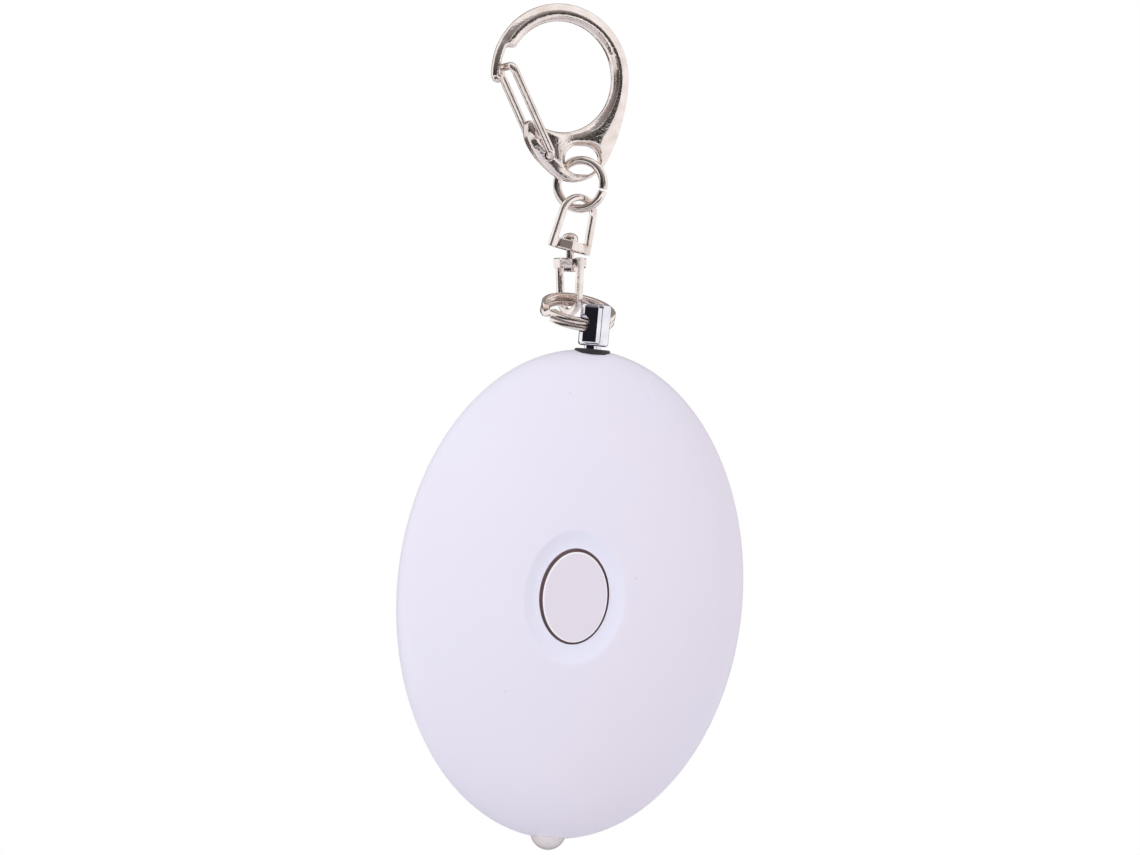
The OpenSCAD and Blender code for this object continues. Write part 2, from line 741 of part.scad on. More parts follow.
module led_leads() {
    from_z = lamp_top + lamp_flange_t;
    color(steel) in_alarm() for (s = [-1, 1]) {
        translate([s * lead_pitch / 2 - lead_t / 2, -lead_t / 2, from_z]) cube([lead_t, lead_t, lead_z - from_z]);
        translate([s * lead_pitch / 2 - lead_t / 2, -board_back, lead_z - lead_t])
            cube([lead_t, board_back + lead_t / 2, lead_t]);
    }
}

// Electronics

module circuit_board() {
    color(board_green) in_alarm() difference() {
        oval(board_w, board_h, -board_front, -board_back);
        for (s = [-1, 1]) {
            translate([s * board_screw_at.x, 0, board_screw_at.y]) to_front()
                cylinder(d = screw_d + 2 * run_gap, h = case_d);
        }
    }
}

module board_screws() {
    color(steel) in_alarm() for (s = [-1, 1]) {
        translate([s * board_screw_at.x, -board_back, board_screw_at.y]) to_back() screw(board_screw_l);
    }
}

module tact_switch_body() {
    color(black) in_alarm() difference() {
        translate([-switch_w / 2, -board_front - switch_h, -switch_w / 2]) cube([switch_w, switch_h, switch_w]);
        translate([0, -board_front - switch_h - 1, 0]) to_back()
            cylinder(d = plunger_d + 2 * slide_gap, h = 1 + plunger_in + button_travel + slide_gap);
    }
}

module tact_switch_plunger() {
    color(ferrite) in_alarm() translate([0, -plunger_top, 0]) to_back()
        cylinder(d = plunger_d, h = plunger_proud + plunger_in);
}

module control_chip() {
    dome_r = (pow(chip_d / 2, 2) + pow(chip_h, 2)) / 2 / chip_h;
    color(black) in_alarm() translate([chip_at.x, -board_front, chip_at.y]) to_front()
        rotate_extrude() intersection() {
            translate([0, chip_h - dome_r]) circle(dome_r);
            square([chip_d, chip_h]);
        }
}

module boost_coil_core() {
    color(ferrite) in_alarm() translate([coil_at.x, -board_back, coil_at.y]) to_back() {
        cylinder(d = coil_post_d, h = coil_h);
        cylinder(d = coil_d, h = coil_flange_t);
        translate([0, 0, coil_h - coil_flange_t]) cylinder(d = coil_d, h = coil_flange_t);
    }
}

module boost_coil_winding() {
    color(copper) in_alarm() translate([coil_at.x, coil_flange_t - board_back, coil_at.y]) to_back() difference() {
        cylinder(d = coil_wound_d, h = coil_h - 2 * coil_flange_t);
        translate([0, 0, -1]) cylinder(d = coil_post_d, h = coil_h + 2);
    }
}

module driver_transistor() {
    leg_t = 0.45;
    leg_pitch = 1.27;
    color(black) in_alarm() translate([transistor_at.x, -board_back, transistor_at.y]) to_back() {
        translate([0, 0, transistor_stand]) difference() {
            cylinder(d = transistor_d, h = transistor_h);
            translate([-transistor_d, transistor_d / 4, -1]) cube([2 * transistor_d, transistor_d, transistor_h + 2]);
        }
        for (k = [-1:1]) {
            translate([k * leg_pitch - leg_t / 2, -leg_t / 2, 0]) cube([leg_t, leg_t, transistor_stand + eps]);
        }
    }
}

module capacitor() {
    color(can_blue) in_alarm() translate([capacitor_at.x, -board_back, capacitor_at.y]) to_back()
        cylinder(d = capacitor_d, h = capacitor_h);
}

module resistors() {
    color(ferrite) in_alarm() for (p = resistor_at) {
        translate([p.x - resistor_size.x / 2, -board_front - resistor_size.y, p.y - resistor_size.z / 2])
            cube(resistor_size);
    }
}

module siren_disc() {
    color(brass) in_alarm() translate([0, siren_y - siren_t, siren_z]) to_back() cylinder(d = siren_d, h = siren_t);
}

module siren_ceramic() {
    color(ceramic_white) in_alarm() translate([0, siren_y - siren_t - ceramic_t, siren_z]) to_back()
        cylinder(d = ceramic_d, h = ceramic_t);
}

module siren_wires() {
    color(wire_red) in_alarm() for (p = siren_wire_at) {
        on_ceramic = norm([p.x, p.y - siren_z]) < ceramic_d / 2;
        end_y = siren_y - siren_t - (on_ceramic ? ceramic_t : 0);
        translate([p.x, -board_back, p.y]) to_back() cylinder(d = siren_wire_d, h = end_y + board_back);
    }
}

module battery_holder() {
    out_w = holder_in_w + 2 * holder_wall;
    out_h = holder_in_h + 2 * holder_wall;
    color(black) in_alarm() translate([0, -board_back, cell_z]) difference() {
        translate([-out_w / 2, 0, -out_h / 2]) cube([out_w, holder_deep, out_h]);
        translate([-holder_in_w / 2, -1, -holder_in_h / 2]) cube([holder_in_w, holder_deep + 2, holder_in_h]);
    }
}

module battery_cell(index) {
    color(steel) in_alarm() translate([(index - cell_count / 2) * cell_h, cell_y, cell_z]) rotate([0, -90, 0])
        cylinder(d = cell_d, h = cell_h);
}

// Contact plate at one end of the cells, with a button that presses on the last cell
module battery_contact(side) {
    end_x = holder_in_w / 2;
    in_alarm() {
        translate([side > 0 ? end_x - contact_t : -end_x, -board_back, cell_z - contact_h / 2])
            cube([contact_t, holder_deep, contact_h]);
        translate([side * end_x, cell_y, cell_z]) rotate([0, -90 * side, 0])
            cylinder(d1 = contact_h * 0.7, d2 = contact_h * 0.4, h = contact_room);
    }
}

module battery_contact_positive() {
    color(steel) battery_contact(1);
}

module battery_contact_negative() {
    color(brass) battery_contact(-1);
}

// Block round the pin's shank, with a slot at the right for the leaf and one for the fixed contact
module pin_switch_housing() {
    color(black) in_alarm() difference() {
        translate([-housing_w / 2, -board_back, housing_top - housing_l])
            cube([housing_w, board_back + housing_back, housing_l]);
        cylinder(d = shank_d + 2 * slide_gap, h = case_h);
        translate([0, -leaf_w / 2 - slide_gap, housing_top - housing_l - 1])
            cube([housing_w, leaf_w + 2 * slide_gap, leaf_root_z - housing_top + housing_l + 1]);
        translate([-housing_w / 2 + 1, -case_d, leaf_end_z])
            cube([housing_w / 2 - 1 + fixed_tip, case_d + leaf_w / 2 + slide_gap, fixed_t + 2 * run_gap]);
    }
}

module contact_leaf() {
    color(brass) in_alarm() {
        translate([leaf_x, -leaf_w / 2, leaf_end_z]) cube([leaf_t, leaf_w, leaf_root_z - run_gap - leaf_end_z]);
        translate([leaf_x + eps, leaf_w / 2, leaf_bump_z]) to_front() intersection() {
            cylinder(r = leaf_bump_r, h = leaf_w);
            translate([-1, -1, 0]) cube([1 + leaf_t / 2, 2, leaf_w]);
        }
    }
}

// Strip from the leaf's root down the right side of the housing to the board
module leaf_terminal() {
    side_x = housing_w / 2;
    foot_z = housing_top - housing_l + 1;
    root_x = leaf_x + leaf_t + run_gap;
    color(brass) in_alarm() {
        translate([root_x, -leaf_w / 2, leaf_root_z - 2 * terminal_t])
            cube([side_x - root_x + terminal_t, leaf_w, terminal_t]);
        translate([side_x, -leaf_w / 2, foot_z]) cube([terminal_t, leaf_w, leaf_root_z - terminal_t - foot_z]);
        translate([side_x, -board_back, foot_z]) cube([terminal_t, board_back + leaf_w / 2, 1]);
    }
}

module contact_fixed() {
    color(brass) in_alarm() translate([-housing_w / 2 + 1 + run_gap, -board_back, leaf_end_z + run_gap])
        cube([fixed_tip + housing_w / 2 - 1 - 2 * run_gap, board_back + leaf_w / 2, fixed_t]);
}

clasp_hook();
clasp_gate();
jump_ring();
swivel_upper_bail();
swivel_rivet();
swivel_lower_bail();
split_ring();
pull_pin();
pin_bush();
front_shell();
rear_shell();
button_cap();
case_screws();
led();
led_leads();
circuit_board();
board_screws();
tact_switch_body();
tact_switch_plunger();
control_chip();
boost_coil_core();
boost_coil_winding();
driver_transistor();
capacitor();
resistors();
siren_disc();
siren_ceramic();
siren_wires();
battery_holder();
battery_contact_positive();
battery_contact_negative();
pin_switch_housing();
contact_leaf();
leaf_terminal();
contact_fixed();
for (i = [1:cell_count]) {
    battery_cell(i);
}
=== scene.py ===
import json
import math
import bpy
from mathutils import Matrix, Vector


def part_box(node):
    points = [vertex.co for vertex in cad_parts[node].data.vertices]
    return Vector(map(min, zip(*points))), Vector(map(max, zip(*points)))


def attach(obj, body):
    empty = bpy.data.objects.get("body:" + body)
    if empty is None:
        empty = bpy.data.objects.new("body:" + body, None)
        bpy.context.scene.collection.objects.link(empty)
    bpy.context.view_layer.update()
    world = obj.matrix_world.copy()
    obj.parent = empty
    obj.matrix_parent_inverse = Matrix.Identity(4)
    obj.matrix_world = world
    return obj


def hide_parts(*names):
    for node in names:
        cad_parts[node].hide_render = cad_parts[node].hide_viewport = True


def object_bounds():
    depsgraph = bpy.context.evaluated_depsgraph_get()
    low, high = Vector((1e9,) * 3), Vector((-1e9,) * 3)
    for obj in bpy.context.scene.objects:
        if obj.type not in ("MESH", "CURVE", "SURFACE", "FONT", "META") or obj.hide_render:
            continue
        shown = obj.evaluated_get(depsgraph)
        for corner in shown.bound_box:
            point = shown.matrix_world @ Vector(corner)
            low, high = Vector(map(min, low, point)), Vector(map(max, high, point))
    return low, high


bl_info = {
    "name": "Personal safety alarm",
    "version": (1, 0, 0),
    "blender": (4, 5, 0),
    "location": "3D View > Sidebar > Safety alarm",
    "description": "Dresses an egg-shaped safety alarm and its chain, in a white studio",
    "category": "Add Mesh",
}

import bmesh
import bpy
from bpy.props import FloatProperty, FloatVectorProperty, PointerProperty
from mathutils import Matrix, Vector

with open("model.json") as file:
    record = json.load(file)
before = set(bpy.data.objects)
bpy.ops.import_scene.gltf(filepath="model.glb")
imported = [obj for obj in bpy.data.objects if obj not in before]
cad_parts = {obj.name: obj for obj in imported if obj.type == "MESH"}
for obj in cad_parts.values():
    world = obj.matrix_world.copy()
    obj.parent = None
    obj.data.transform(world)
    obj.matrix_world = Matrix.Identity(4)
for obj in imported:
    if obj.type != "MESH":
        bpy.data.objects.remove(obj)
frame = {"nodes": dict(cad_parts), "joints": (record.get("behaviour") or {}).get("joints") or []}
CAD_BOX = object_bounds()
MM = 0.001
# Width and height of the photograph, in pixels
IMAGE_SIZE = (1140, 855)


def linear(code):
    """Linear colour of an sRGB hex code."""
    parts = [int(code[i:i + 2], 16) / 255 for i in (0, 2, 4)]
    return tuple(c / 12.92 if c <= 0.04045 else ((c + 0.055) / 1.055) ** 2.4 for c in parts) + (1.0,)


def per_metre(millimetres):
    """Scale of a texture whose features are this wide."""
    return 1 / (millimetres * MM)


def length(name, description, millimetres):
    return FloatProperty(
        name=name, description=description, default=millimetres * MM, precision=5, unit="LENGTH")


def angle(name, description, degrees):
    return FloatProperty(
        name=name, description=description, default=math.radians(degrees), subtype="ANGLE")


def power(name, description, watts):
    return FloatProperty(name=name, description=description, default=watts, min=0, unit="POWER")


def colour(name, description, code):
    return FloatVectorProperty(
        name=name, description=description, default=linear(code), size=4, min=0, max=1, subtype="COLOR")


class AlarmClasp(bpy.types.PropertyGroup):
    """Sizes of the snap hook and its gate"""

    loop: length("Loop", "Inner radius of the round loop", 7.8)
    bar: length("Bar", "Width of the loop's bar", 2.5)
    nose: length("Nose", "Width of the thin nose", 1.25)
    ball: length("Ball", "Diameter of the ball on the nose", 1.7)
    base: length("Base", "Depth of the base at the gate's pivot", 4.0)
    eye_width: length("Eye width", "Width of the eye for the jump ring", 5.2)
    eye_height: length("Eye height", "Height of the eye for the jump ring", 4.0)
    gate_wire: length("Gate wire", "Diameter of the gate's wire", 1.1)
    yaw: angle("Yaw", "Turn of the clasp about the upright", 18)
    pitch: angle("Pitch", "Lean of the clasp's top to the back", 2)
    roll: angle("Roll", "Lean of the clasp's top to the left", 3)


class AlarmLinks(bpy.types.PropertyGroup):
    """Sizes of the rings and the swivel"""

    jump_outer: length("Jump ring", "Outer diameter of the jump ring", 8)
    jump_wire: length("Jump wire", "Diameter of the jump ring's wire", 1.2)
    jump_yaw: angle("Jump yaw", "Turn of the jump ring about the upright", -22)
    swivel_height: length("Swivel height", "Height of one swivel half", 8.1)
    swivel_width: length("Swivel width", "Width of a swivel half at its plate", 6.8)
    swivel_top: length("Swivel top", "Width of a swivel half at its round end", 6)
    strip_width: length("Strip width", "Width of the bail's strip", 0.95)
    strip_depth: length("Strip depth", "Depth of the bail's strip", 1.0)
    plate: length("Plate", "Thickness of a swivel plate", 1.4)
    plate_flats: length("Plate flats", "Width of a swivel plate across its flats", 4.4)
    upper_yaw: angle("Upper yaw", "Turn of the upper half about its axis", 28)
    upper_roll: angle("Upper roll", "Lean of the upper half's top to the right", 9)
    lower_yaw: angle("Lower yaw", "Turn of the lower half about its axis", -63)
    lower_roll: angle("Lower roll", "Lean of the lower half's top to the left", 5)
    split_outer: length("Split ring", "Outer diameter of the split ring", 10.5)
    split_width: length("Split width", "Width of the flat wire towards the ring's centre", 1.0)
    split_height: length("Split height", "Height of the two coils together", 1.75)
    split_gap: length("Split gap", "Gap between the two coils", 0.08)
    split_pitch: angle("Split pitch", "Slope of the split ring towards the front", 21)
    split_roll: angle("Split roll", "Slope of the split ring to the right", 5)


class AlarmCase(bpy.types.PropertyGroup):
    """Sizes of the case, button, pin and lamp"""

    width: length("Width", "Width of the case", 48)
    depth: length("Depth", "Depth of the case", 24)
    height: length("Height", "Height of the case", 68)
    wall: length("Wall", "Wall of the shells", 1.8)
    button_width: length("Button width", "Width of the button's face", 8.8)
    button_height: length("Button height", "Height of the button's face", 12.4)
    button_gap: length("Button gap", "Gap round the button", 0.33)
    dish_width: length("Dish width", "Width of the dish round the button", 13.8)
    dish_height: length("Dish height", "Height of the dish round the button", 18.4)
    pin: length("Pin", "Diameter of the pin's head", 4.2)
    pin_length: length("Pin length", "Length of the pin's head", 5.8)
    pin_hole: length("Pin hole", "Diameter of the hole across the pin's head", 2.5)
    shank: length("Shank", "Diameter of the pin's shank", 2.4)
    bush: length("Bush", "Diameter of the bush's collar", 5)
    lamp: length("Lamp", "Diameter of the lamp", 5)


class AlarmFinish(bpy.types.PropertyGroup):
    """Colours of what shows"""

    shell: colour("Shell", "Moulded white case", "ECE9F4")
    shell_warm: colour("Shell warm", "Warmer patches of the case", "EEE6EE")
    # Painted sheen: the dish is tinted a little bluer than the case
    dish: colour("Dish", "Polished dish round the button, tinted bluer as a painted sheen", "ECECF6")
    # Painted highlight: the button's edge is painted paler, where light catches it
    button: colour("Button", "Moulded button", "E8E0E7")
    button_edge_highlight: colour("Button edge", "Button's edge, painted pale as a highlight", "FCFAFB")
    # Painted shade: this colour darkens the walls of the button's hole and the button's sides
    gap: colour("Gap", "Painted shade in the gap round the button", "C0A6A6")
    nickel: colour("Nickel", "Bright nickel plate", "F6EBE6")
    chrome: colour("Chrome", "Polished chrome plate", "F2EFF7")
    black: colour("Black", "Moulded black plastic", "2B2628")
    lens: colour("Lens", "Clear epoxy", "FDF8FA")


class AlarmStudio(bpy.types.PropertyGroup):
    """Camera and light"""

    distance: length("Distance", "From the camera to the case", 700)
    view_height: length("View height", "Height of frame that is seen at the case", 118.54)
    azimuth: angle("Azimuth", "Camera to the left of the case's front", 3.6)
    tilt: angle("Tilt", "Roll of the camera", 5.26)
    case_drop: length("Case drop", "How far the case's middle lies below the frame's middle", 23.1)
    key_power: power("Key", "Power of the key lamp", 2.15)
    fill_power: power("Fill", "Power of the fill lamp", 0.85)
    sky: FloatProperty(name="Sky", description="Even light from all sides", default=0.74, min=0)


# Places of the links, taken from the frame's joints


def joint_at(name):
    """Place of a joint at rest, in the row frame."""
    return Vector(next(j["pos_m"] for j in frame["joints"] if j["name"] == name))


def turned(radians, axis):
    return Matrix.Rotation(radians, 4, axis)


def moved(x=0.0, y=0.0, z=0.0):
    return Matrix.Translation((x, y, z))


def clasp_place(clasp):
    """The clasp lies in its own XZ plane, with its loop's centre at the origin."""
    return turned(-clasp.roll, "Y") @ turned(clasp.yaw, "Z") @ turned(-clasp.pitch, "X")


def jump_place(links):
    return Matrix.Translation(joint_at("jump_ring_turn")) @ turned(links.jump_yaw, "Z")


def swivel_place(roll, yaw):
    return Matrix.Translation(joint_at("swivel_spin")) @ turned(roll, "Y") @ turned(yaw, "Z")


# Where the lower bail holds the split ring, as an angle round the ring
BAIL_ANGLE = math.radians(104.6)
# Heights above the case's middle: the pin's cross hole, and the bush's collar and lower end
PIN_HOLE_Z, BUSH_SEAT_Z, BUSH_FOOT_Z = 37.55 * MM, 33.4 * MM, 27.9 * MM


def split_radius(links):
    return (links.split_outer - links.split_width) / 2


def split_place(links):
    r = split_radius(links)
    strand = Matrix.Translation(joint_at("split_ring_flop"))
    lie = turned(links.split_roll, "Y") @ turned(links.split_pitch, "X")
    return strand @ lie @ moved(-r * math.cos(BAIL_ANGLE), -r * math.sin(BAIL_ANGLE))


def case_place():
    """The case stands upright; its middle lies under the pin's cross hole."""
    return Matrix.Translation(joint_at("pin_swing")) @ moved(z=-PIN_HOLE_Z)


# Meshes


MERGE = 0.0005 * MM


def piece_from(name, verts, faces, place=Matrix()):
    """A mesh object with its doubled points merged, set at a place in the row frame."""
    mesh = bpy.data.meshes.new(name)
    mesh.from_pydata([place @ Vector(v) for v in verts], [], faces)
    shape = bmesh.new()
    shape.from_mesh(mesh)
    bmesh.ops.remove_doubles(shape, verts=shape.verts, dist=MERGE)
    bmesh.ops.recalc_face_normals(shape, faces=shape.faces)
    shape.to_mesh(mesh)
    shape.free()
    piece = bpy.data.objects.new(name, mesh)
    bpy.context.scene.collection.objects.link(piece)
    return piece


def stitched(loops, around=False):
    """Skin over a row of equal loops; around joins last to first, else both ends are closed."""
    count = len(loops[0])
    verts = [p for loop in loops for p in loop]
    faces = []
    for i in range(len(loops) if around else len(loops) - 1):
        here, there = i * count, (i + 1) % len(loops) * count
        for k in range(count):
            beside = (k + 1) % count
            faces.append((here + k, here + beside, there + beside, there + k))
    if not around:
        faces += [tuple(range(count)), tuple(range(len(verts) - count, len(verts)))]
    return verts, faces


def full_turn(steps):
    """Even angles once round."""
    return [2 * math.pi * i / steps for i in range(steps)]


def lathed(profile, steps):
    """Profile of (radius, height) points turned about Z."""
    loops = [[(r * math.cos(a), r * math.sin(a), z) for r, z in profile] for a in full_turn(steps)]
    return stitched(loops, around=True)


def rod(radius, low, high):
    """Profile of a plain rod, to be lathed."""
    return [(0, low), (radius, low), (radius, high), (0, high)]


def ball_profile(radius, half_height, steps):
    """Profile of a ball, drawn out along Z, to be lathed."""
    angles = [math.pi * (i / steps - 0.5) for i in range(steps + 1)]
    return [(radius * math.cos(a), half_height * math.sin(a)) for a in angles]


def drawn_along(path, normal, section, around=False):
    """Section of (across, along the normal) points drawn along a path that lies in a plane."""
    normal = Vector(normal)
    path = [Vector(p) for p in path]
    loops = []
    for i, point in enumerate(path):
        before = path[i - 1] if i or around else point
        after = path[(i + 1) % len(path)] if i + 1 < len(path) or around else point
        across = (after - before).cross(normal).normalized()
        loops.append([point + across * x + normal * y for x, y in section])
    return stitched(loops, around)


def arc(centre, radius, start, end, steps):
    """Points on a circle, as (first, second) pairs."""
    angles = [start + (end - start) * i / steps for i in range(steps + 1)]
    return [(centre[0] + radius * math.cos(a), centre[1] + radius * math.sin(a)) for a in angles]


def round_section(diameter, steps):
    return arc((0, 0), diameter / 2, 0, 2 * math.pi, steps)[:-1]


def rounded_section(width, depth, corner):
    """Rectangle with round corners."""
    steps = 4
    points = []
    for k, (sx, sy) in enumerate(((1, 1), (-1, 1), (-1, -1), (1, -1))):
        middle = (sx * (width / 2 - corner), sy * (depth / 2 - corner))
        points += arc(middle, corner, k * math.pi / 2, (k + 1) * math.pi / 2, steps)
    return points


def bent_path(corners, radii):
    """Straight runs joined by round bends: one radius for each inner corner."""
    steps = 8
    corners = [Vector(c) for c in corners]
    path = [corners[0]]
    for before, corner, after, radius in zip(corners, corners[1:], corners[2:], radii):
        back, on = (before - corner).normalized(), (after - corner).normalized()
        half = back.angle(on) / 2
        centre = corner + (back + on).normalized() * radius / math.sin(half)
        start = corner + back * radius / math.tan(half) - centre
        axis = on.cross(back).normalized()
        bend = math.pi - 2 * half
        path += [centre + Matrix.Rotation(bend * i / steps, 3, axis) @ start for i in range(steps + 1)]
    return path + [corners[-1]]


def baked(piece):
    """Makes what a piece's modifiers give its own mesh."""
    mesh = bpy.data.meshes.new_from_object(piece.evaluated_get(bpy.context.evaluated_depsgraph_get()))
    piece.modifiers.clear()
    piece.data = mesh
    return piece


def combined(piece, other, operation):
    """Joins or cuts a piece with another mesh, which is used up."""
    change = piece.modifiers.new("Combine", "BOOLEAN")
    change.operation = operation
    change.solver = "EXACT"
    change.object = other
    baked(piece)
    bpy.data.objects.remove(other)
    return piece


def remeshed(piece, voxel, smoothing):
    """Even skin with soft edges, as a casting has."""
    skin = piece.modifiers.new("Skin", "REMESH")
    skin.mode = "VOXEL"
    skin.voxel_size = voxel
    soft = piece.modifiers.new("Soft", "SMOOTH")
    soft.factor = 0.5
    soft.iterations = smoothing
    return baked(piece)


def softened(piece, name, width, segments, degrees):
    """Rounds the edges that bend more sharply than an angle."""
    bevel = piece.modifiers.new(name, "BEVEL")
    bevel.width = width
    bevel.segments = segments
    bevel.angle_limit = math.radians(degrees)


def finished(piece, body, node, slot, *materials, crease=35):
    """Shades a piece, and sets it on its body in place of its CAD node."""
    piece.data.materials.clear()
    for material in materials:
        piece.data.materials.append(material)
    piece.data.shade_smooth()
    piece.data.set_sharp_from_angle(angle=math.radians(crease))
    even = piece.modifiers.new("Even shading", "WEIGHTED_NORMAL")
    even.keep_sharp = True
    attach(piece, body)
    if node:
        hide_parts(node)
    return piece


def clamped(value):
    """Value held between 0 and 1."""
    return max(0.0, min(1.0, value))


def smooth_value(keys, at):
    """Smooth curve through (place, value) keys in rising order."""
    if at <= keys[0][0]:
        return keys[0][1]
    for i in range(len(keys) - 1):
        (a, u), (b, v) = keys[i], keys[i + 1]
        if at <= b:
            before = keys[max(i - 1, 0)]
            after = keys[min(i + 2, len(keys) - 1)]
            leave = (v - before[1]) / (b - before[0]) * (b - a)
            arrive = (after[1] - u) / (after[0] - a) * (b - a)
            t = (at - a) / (b - a)
            return (u * (2 * t ** 3 - 3 * t ** 2 + 1) + leave * (t ** 3 - 2 * t ** 2 + t)
                    + v * (3 * t ** 2 - 2 * t ** 3) + arrive * (t ** 3 - t ** 2))
    return keys[-1][1]


# Materials


def add_node(tree, kind, sockets=None, **settings):
    """Adds a node, sets what it is given, and links the sockets that are handed over."""
    node = tree.nodes.new(kind)
    for name, value in settings.items():
        setattr(node, name, value)
    for key, value in (sockets or {}).items():
        if isinstance(value, bpy.types.NodeSocket):
            tree.links.new(value, node.inputs[key])
        else:
            node.inputs[key].default_value = value
    return node


# Colour sockets of a Mix node, by number, because its other kinds share their names
MIX_A, MIX_B, MIX_OUT = 6, 7, 2


def new_material(name, **sockets):
    """Material with one shader; words in socket names are joined by underscores."""
    material = bpy.data.materials.new(name)
    material.use_nodes = True
    shader = material.node_tree.nodes["Principled BSDF"]
    for key, value in sockets.items():
        shader.inputs[key.replace("_", " ")].default_value = value
    return material, material.node_tree, shader


def set_skin(tree, shader, pattern, low, high, relief, strength, depth):
    """Roughness from low to high over one pattern, and bumps of a depth in millimetres from another."""
    gloss = add_node(tree, "ShaderNodeMapRange", {"Value": pattern, "To Min": low, "To Max": high})
    tree.links.new(gloss.outputs["Result"], shader.inputs["Roughness"])
    bump = add_node(tree, "ShaderNodeBump", {
        "Height": relief, "Strength": strength, "Distance": depth * MM})
    tree.links.new(bump.outputs["Normal"], shader.inputs["Normal"])


def moulded_abs(name, pale, warm, roughness):
    """Moulded ABS: satin skin from a spark-eroded mould, faint warm clouds, and a few dust specks."""
    material, tree, shader = new_material(name, IOR=1.53, Specular_IOR_Level=0.35)
    place = add_node(tree, "ShaderNodeTexCoord").outputs["Object"]
    clouds = add_node(tree, "ShaderNodeTexNoise", {"Vector": place, "Scale": per_metre(22), "Detail": 2.0})
    cloudy = add_node(tree, "ShaderNodeMix", {
        "Factor": clouds.outputs["Fac"], MIX_A: pale, MIX_B: warm}, data_type="RGBA")
    dust = add_node(tree, "ShaderNodeTexVoronoi", {"Vector": place, "Scale": per_metre(5.5)})
    speck = add_node(tree, "ShaderNodeMapRange", {
        "Value": dust.outputs["Distance"], "From Min": 0.018, "From Max": 0.03, "To Min": 0.3, "To Max": 0.0})
    dusty = add_node(tree, "ShaderNodeMix", {
        "Factor": speck.outputs["Result"], MIX_A: cloudy.outputs[MIX_OUT], MIX_B: linear("9A8F96")},
        data_type="RGBA")
    tree.links.new(dusty.outputs[MIX_OUT], shader.inputs["Base Color"])
    grain = add_node(tree, "ShaderNodeTexNoise", {"Vector": place, "Scale": per_metre(0.35), "Detail": 3.0})
    skin = grain.outputs["Fac"]
    set_skin(tree, shader, skin, roughness - 0.05, roughness + 0.05, skin, 0.25, 0.012)
    return material


def plated_metal(name, bright, dull, roughness, peel, peel_depth):
    """Plated metal: mirror gloss over a casting whose skin ripples a little, with dull handling marks."""
    material, tree, shader = new_material(name, Metallic=1.0)
    place = add_node(tree, "ShaderNodeTexCoord").outputs["Object"]
    ripple = add_node(tree, "ShaderNodeTexNoise", {"Vector": place, "Scale": per_metre(peel), "Detail": 2.0})
    marks = add_node(tree, "ShaderNodeTexNoise", {"Vector": place, "Scale": per_metre(2.4), "Detail": 5.0})
    worn = add_node(tree, "ShaderNodeMapRange", {
        "Value": marks.outputs["Fac"], "From Min": 0.4, "From Max": 0.7})
    tone = add_node(tree, "ShaderNodeMix", {
        "Factor": worn.outputs["Result"], MIX_A: bright, MIX_B: dull}, data_type="RGBA")
    tree.links.new(tone.outputs[MIX_OUT], shader.inputs["Base Color"])
    set_skin(tree, shader, marks.outputs["Fac"], roughness * 0.6, roughness * 1.5,
             ripple.outputs["Fac"], 0.3, peel_depth)
    return material


def clear_epoxy(name, tint, rim):
    """Cast clear epoxy: glossy and see-through, rosy where it is seen edge-on, with faint flow lines."""
    material, tree, shader = new_material(name, IOR=1.52, Roughness=0.06, Transmission_Weight=0.55)
    edge_on = add_node(tree, "ShaderNodeLayerWeight", {"Blend": 0.24}).outputs["Facing"]
    tone = add_node(tree, "ShaderNodeMix", {"Factor": edge_on, MIX_A: tint, MIX_B: rim}, data_type="RGBA")
    tree.links.new(tone.outputs[MIX_OUT], shader.inputs["Base Color"])
    place = add_node(tree, "ShaderNodeTexCoord").outputs["Object"]
    flow = add_node(tree, "ShaderNodeTexNoise", {"Vector": place, "Scale": per_metre(1.6), "Detail": 2.0})
    bump = add_node(tree, "ShaderNodeBump", {
        "Height": flow.outputs["Fac"], "Strength": 0.2, "Distance": 0.03 * MM})
    tree.links.new(bump.outputs["Normal"], shader.inputs["Normal"])
    return material


def plain_finish(name, first, second, grain, roughness, metallic):
    """Finish of an inner part: two close tones in a fine grain."""
    material, tree, shader = new_material(name, Metallic=metallic)
    place = add_node(tree, "ShaderNodeTexCoord").outputs["Object"]
    speckle = add_node(tree, "ShaderNodeTexNoise", {
        "Vector": place, "Scale": per_metre(grain), "Detail": 4.0})
    tone = add_node(tree, "ShaderNodeMix", {
        "Factor": speckle.outputs["Fac"], MIX_A: linear(first), MIX_B: linear(second)}, data_type="RGBA")
    tree.links.new(tone.outputs[MIX_OUT], shader.inputs["Base Color"])
    skin = speckle.outputs["Fac"]
    set_skin(tree, shader, skin, roughness - 0.08, roughness + 0.08, skin, 0.2, 0.02)
    return material


def made_once(name, maker, *settings):
    """The material of this name, made when it is first asked for."""
    return bpy.data.materials.get(name) or maker(name, *settings)


def nickel(name="Bright nickel plate", peel=0.7, peel_depth=0.05):
    """Bright nickel on steel wire and small castings: a warm, soft mirror that ripples a little."""
    tone = bpy.context.scene.alarm_finish.nickel
    return made_once(name, plated_metal, tone, linear("E2D5CE"), 0.15, peel, peel_depth)


def cast_nickel():
    """The clasp's nickel: the same tone over a casting with a finer, deeper ripple."""
    return nickel("Nickel on zinc casting", 0.45, 0.1)


def white_abs():
    """The case's ABS: lilac white, with a satin sheen."""
    finish = bpy.context.scene.alarm_finish
    return made_once("Moulded ABS case", moulded_abs, finish.shell, finish.shell_warm, 0.46)


def gap_painted_shade_abs():
    """Sides of the gap round the button, darkened with painted shade."""
    tone = bpy.context.scene.alarm_finish.gap
    return made_once("Grimy ABS edge", moulded_abs, tone, tone, 0.7)


# Operators


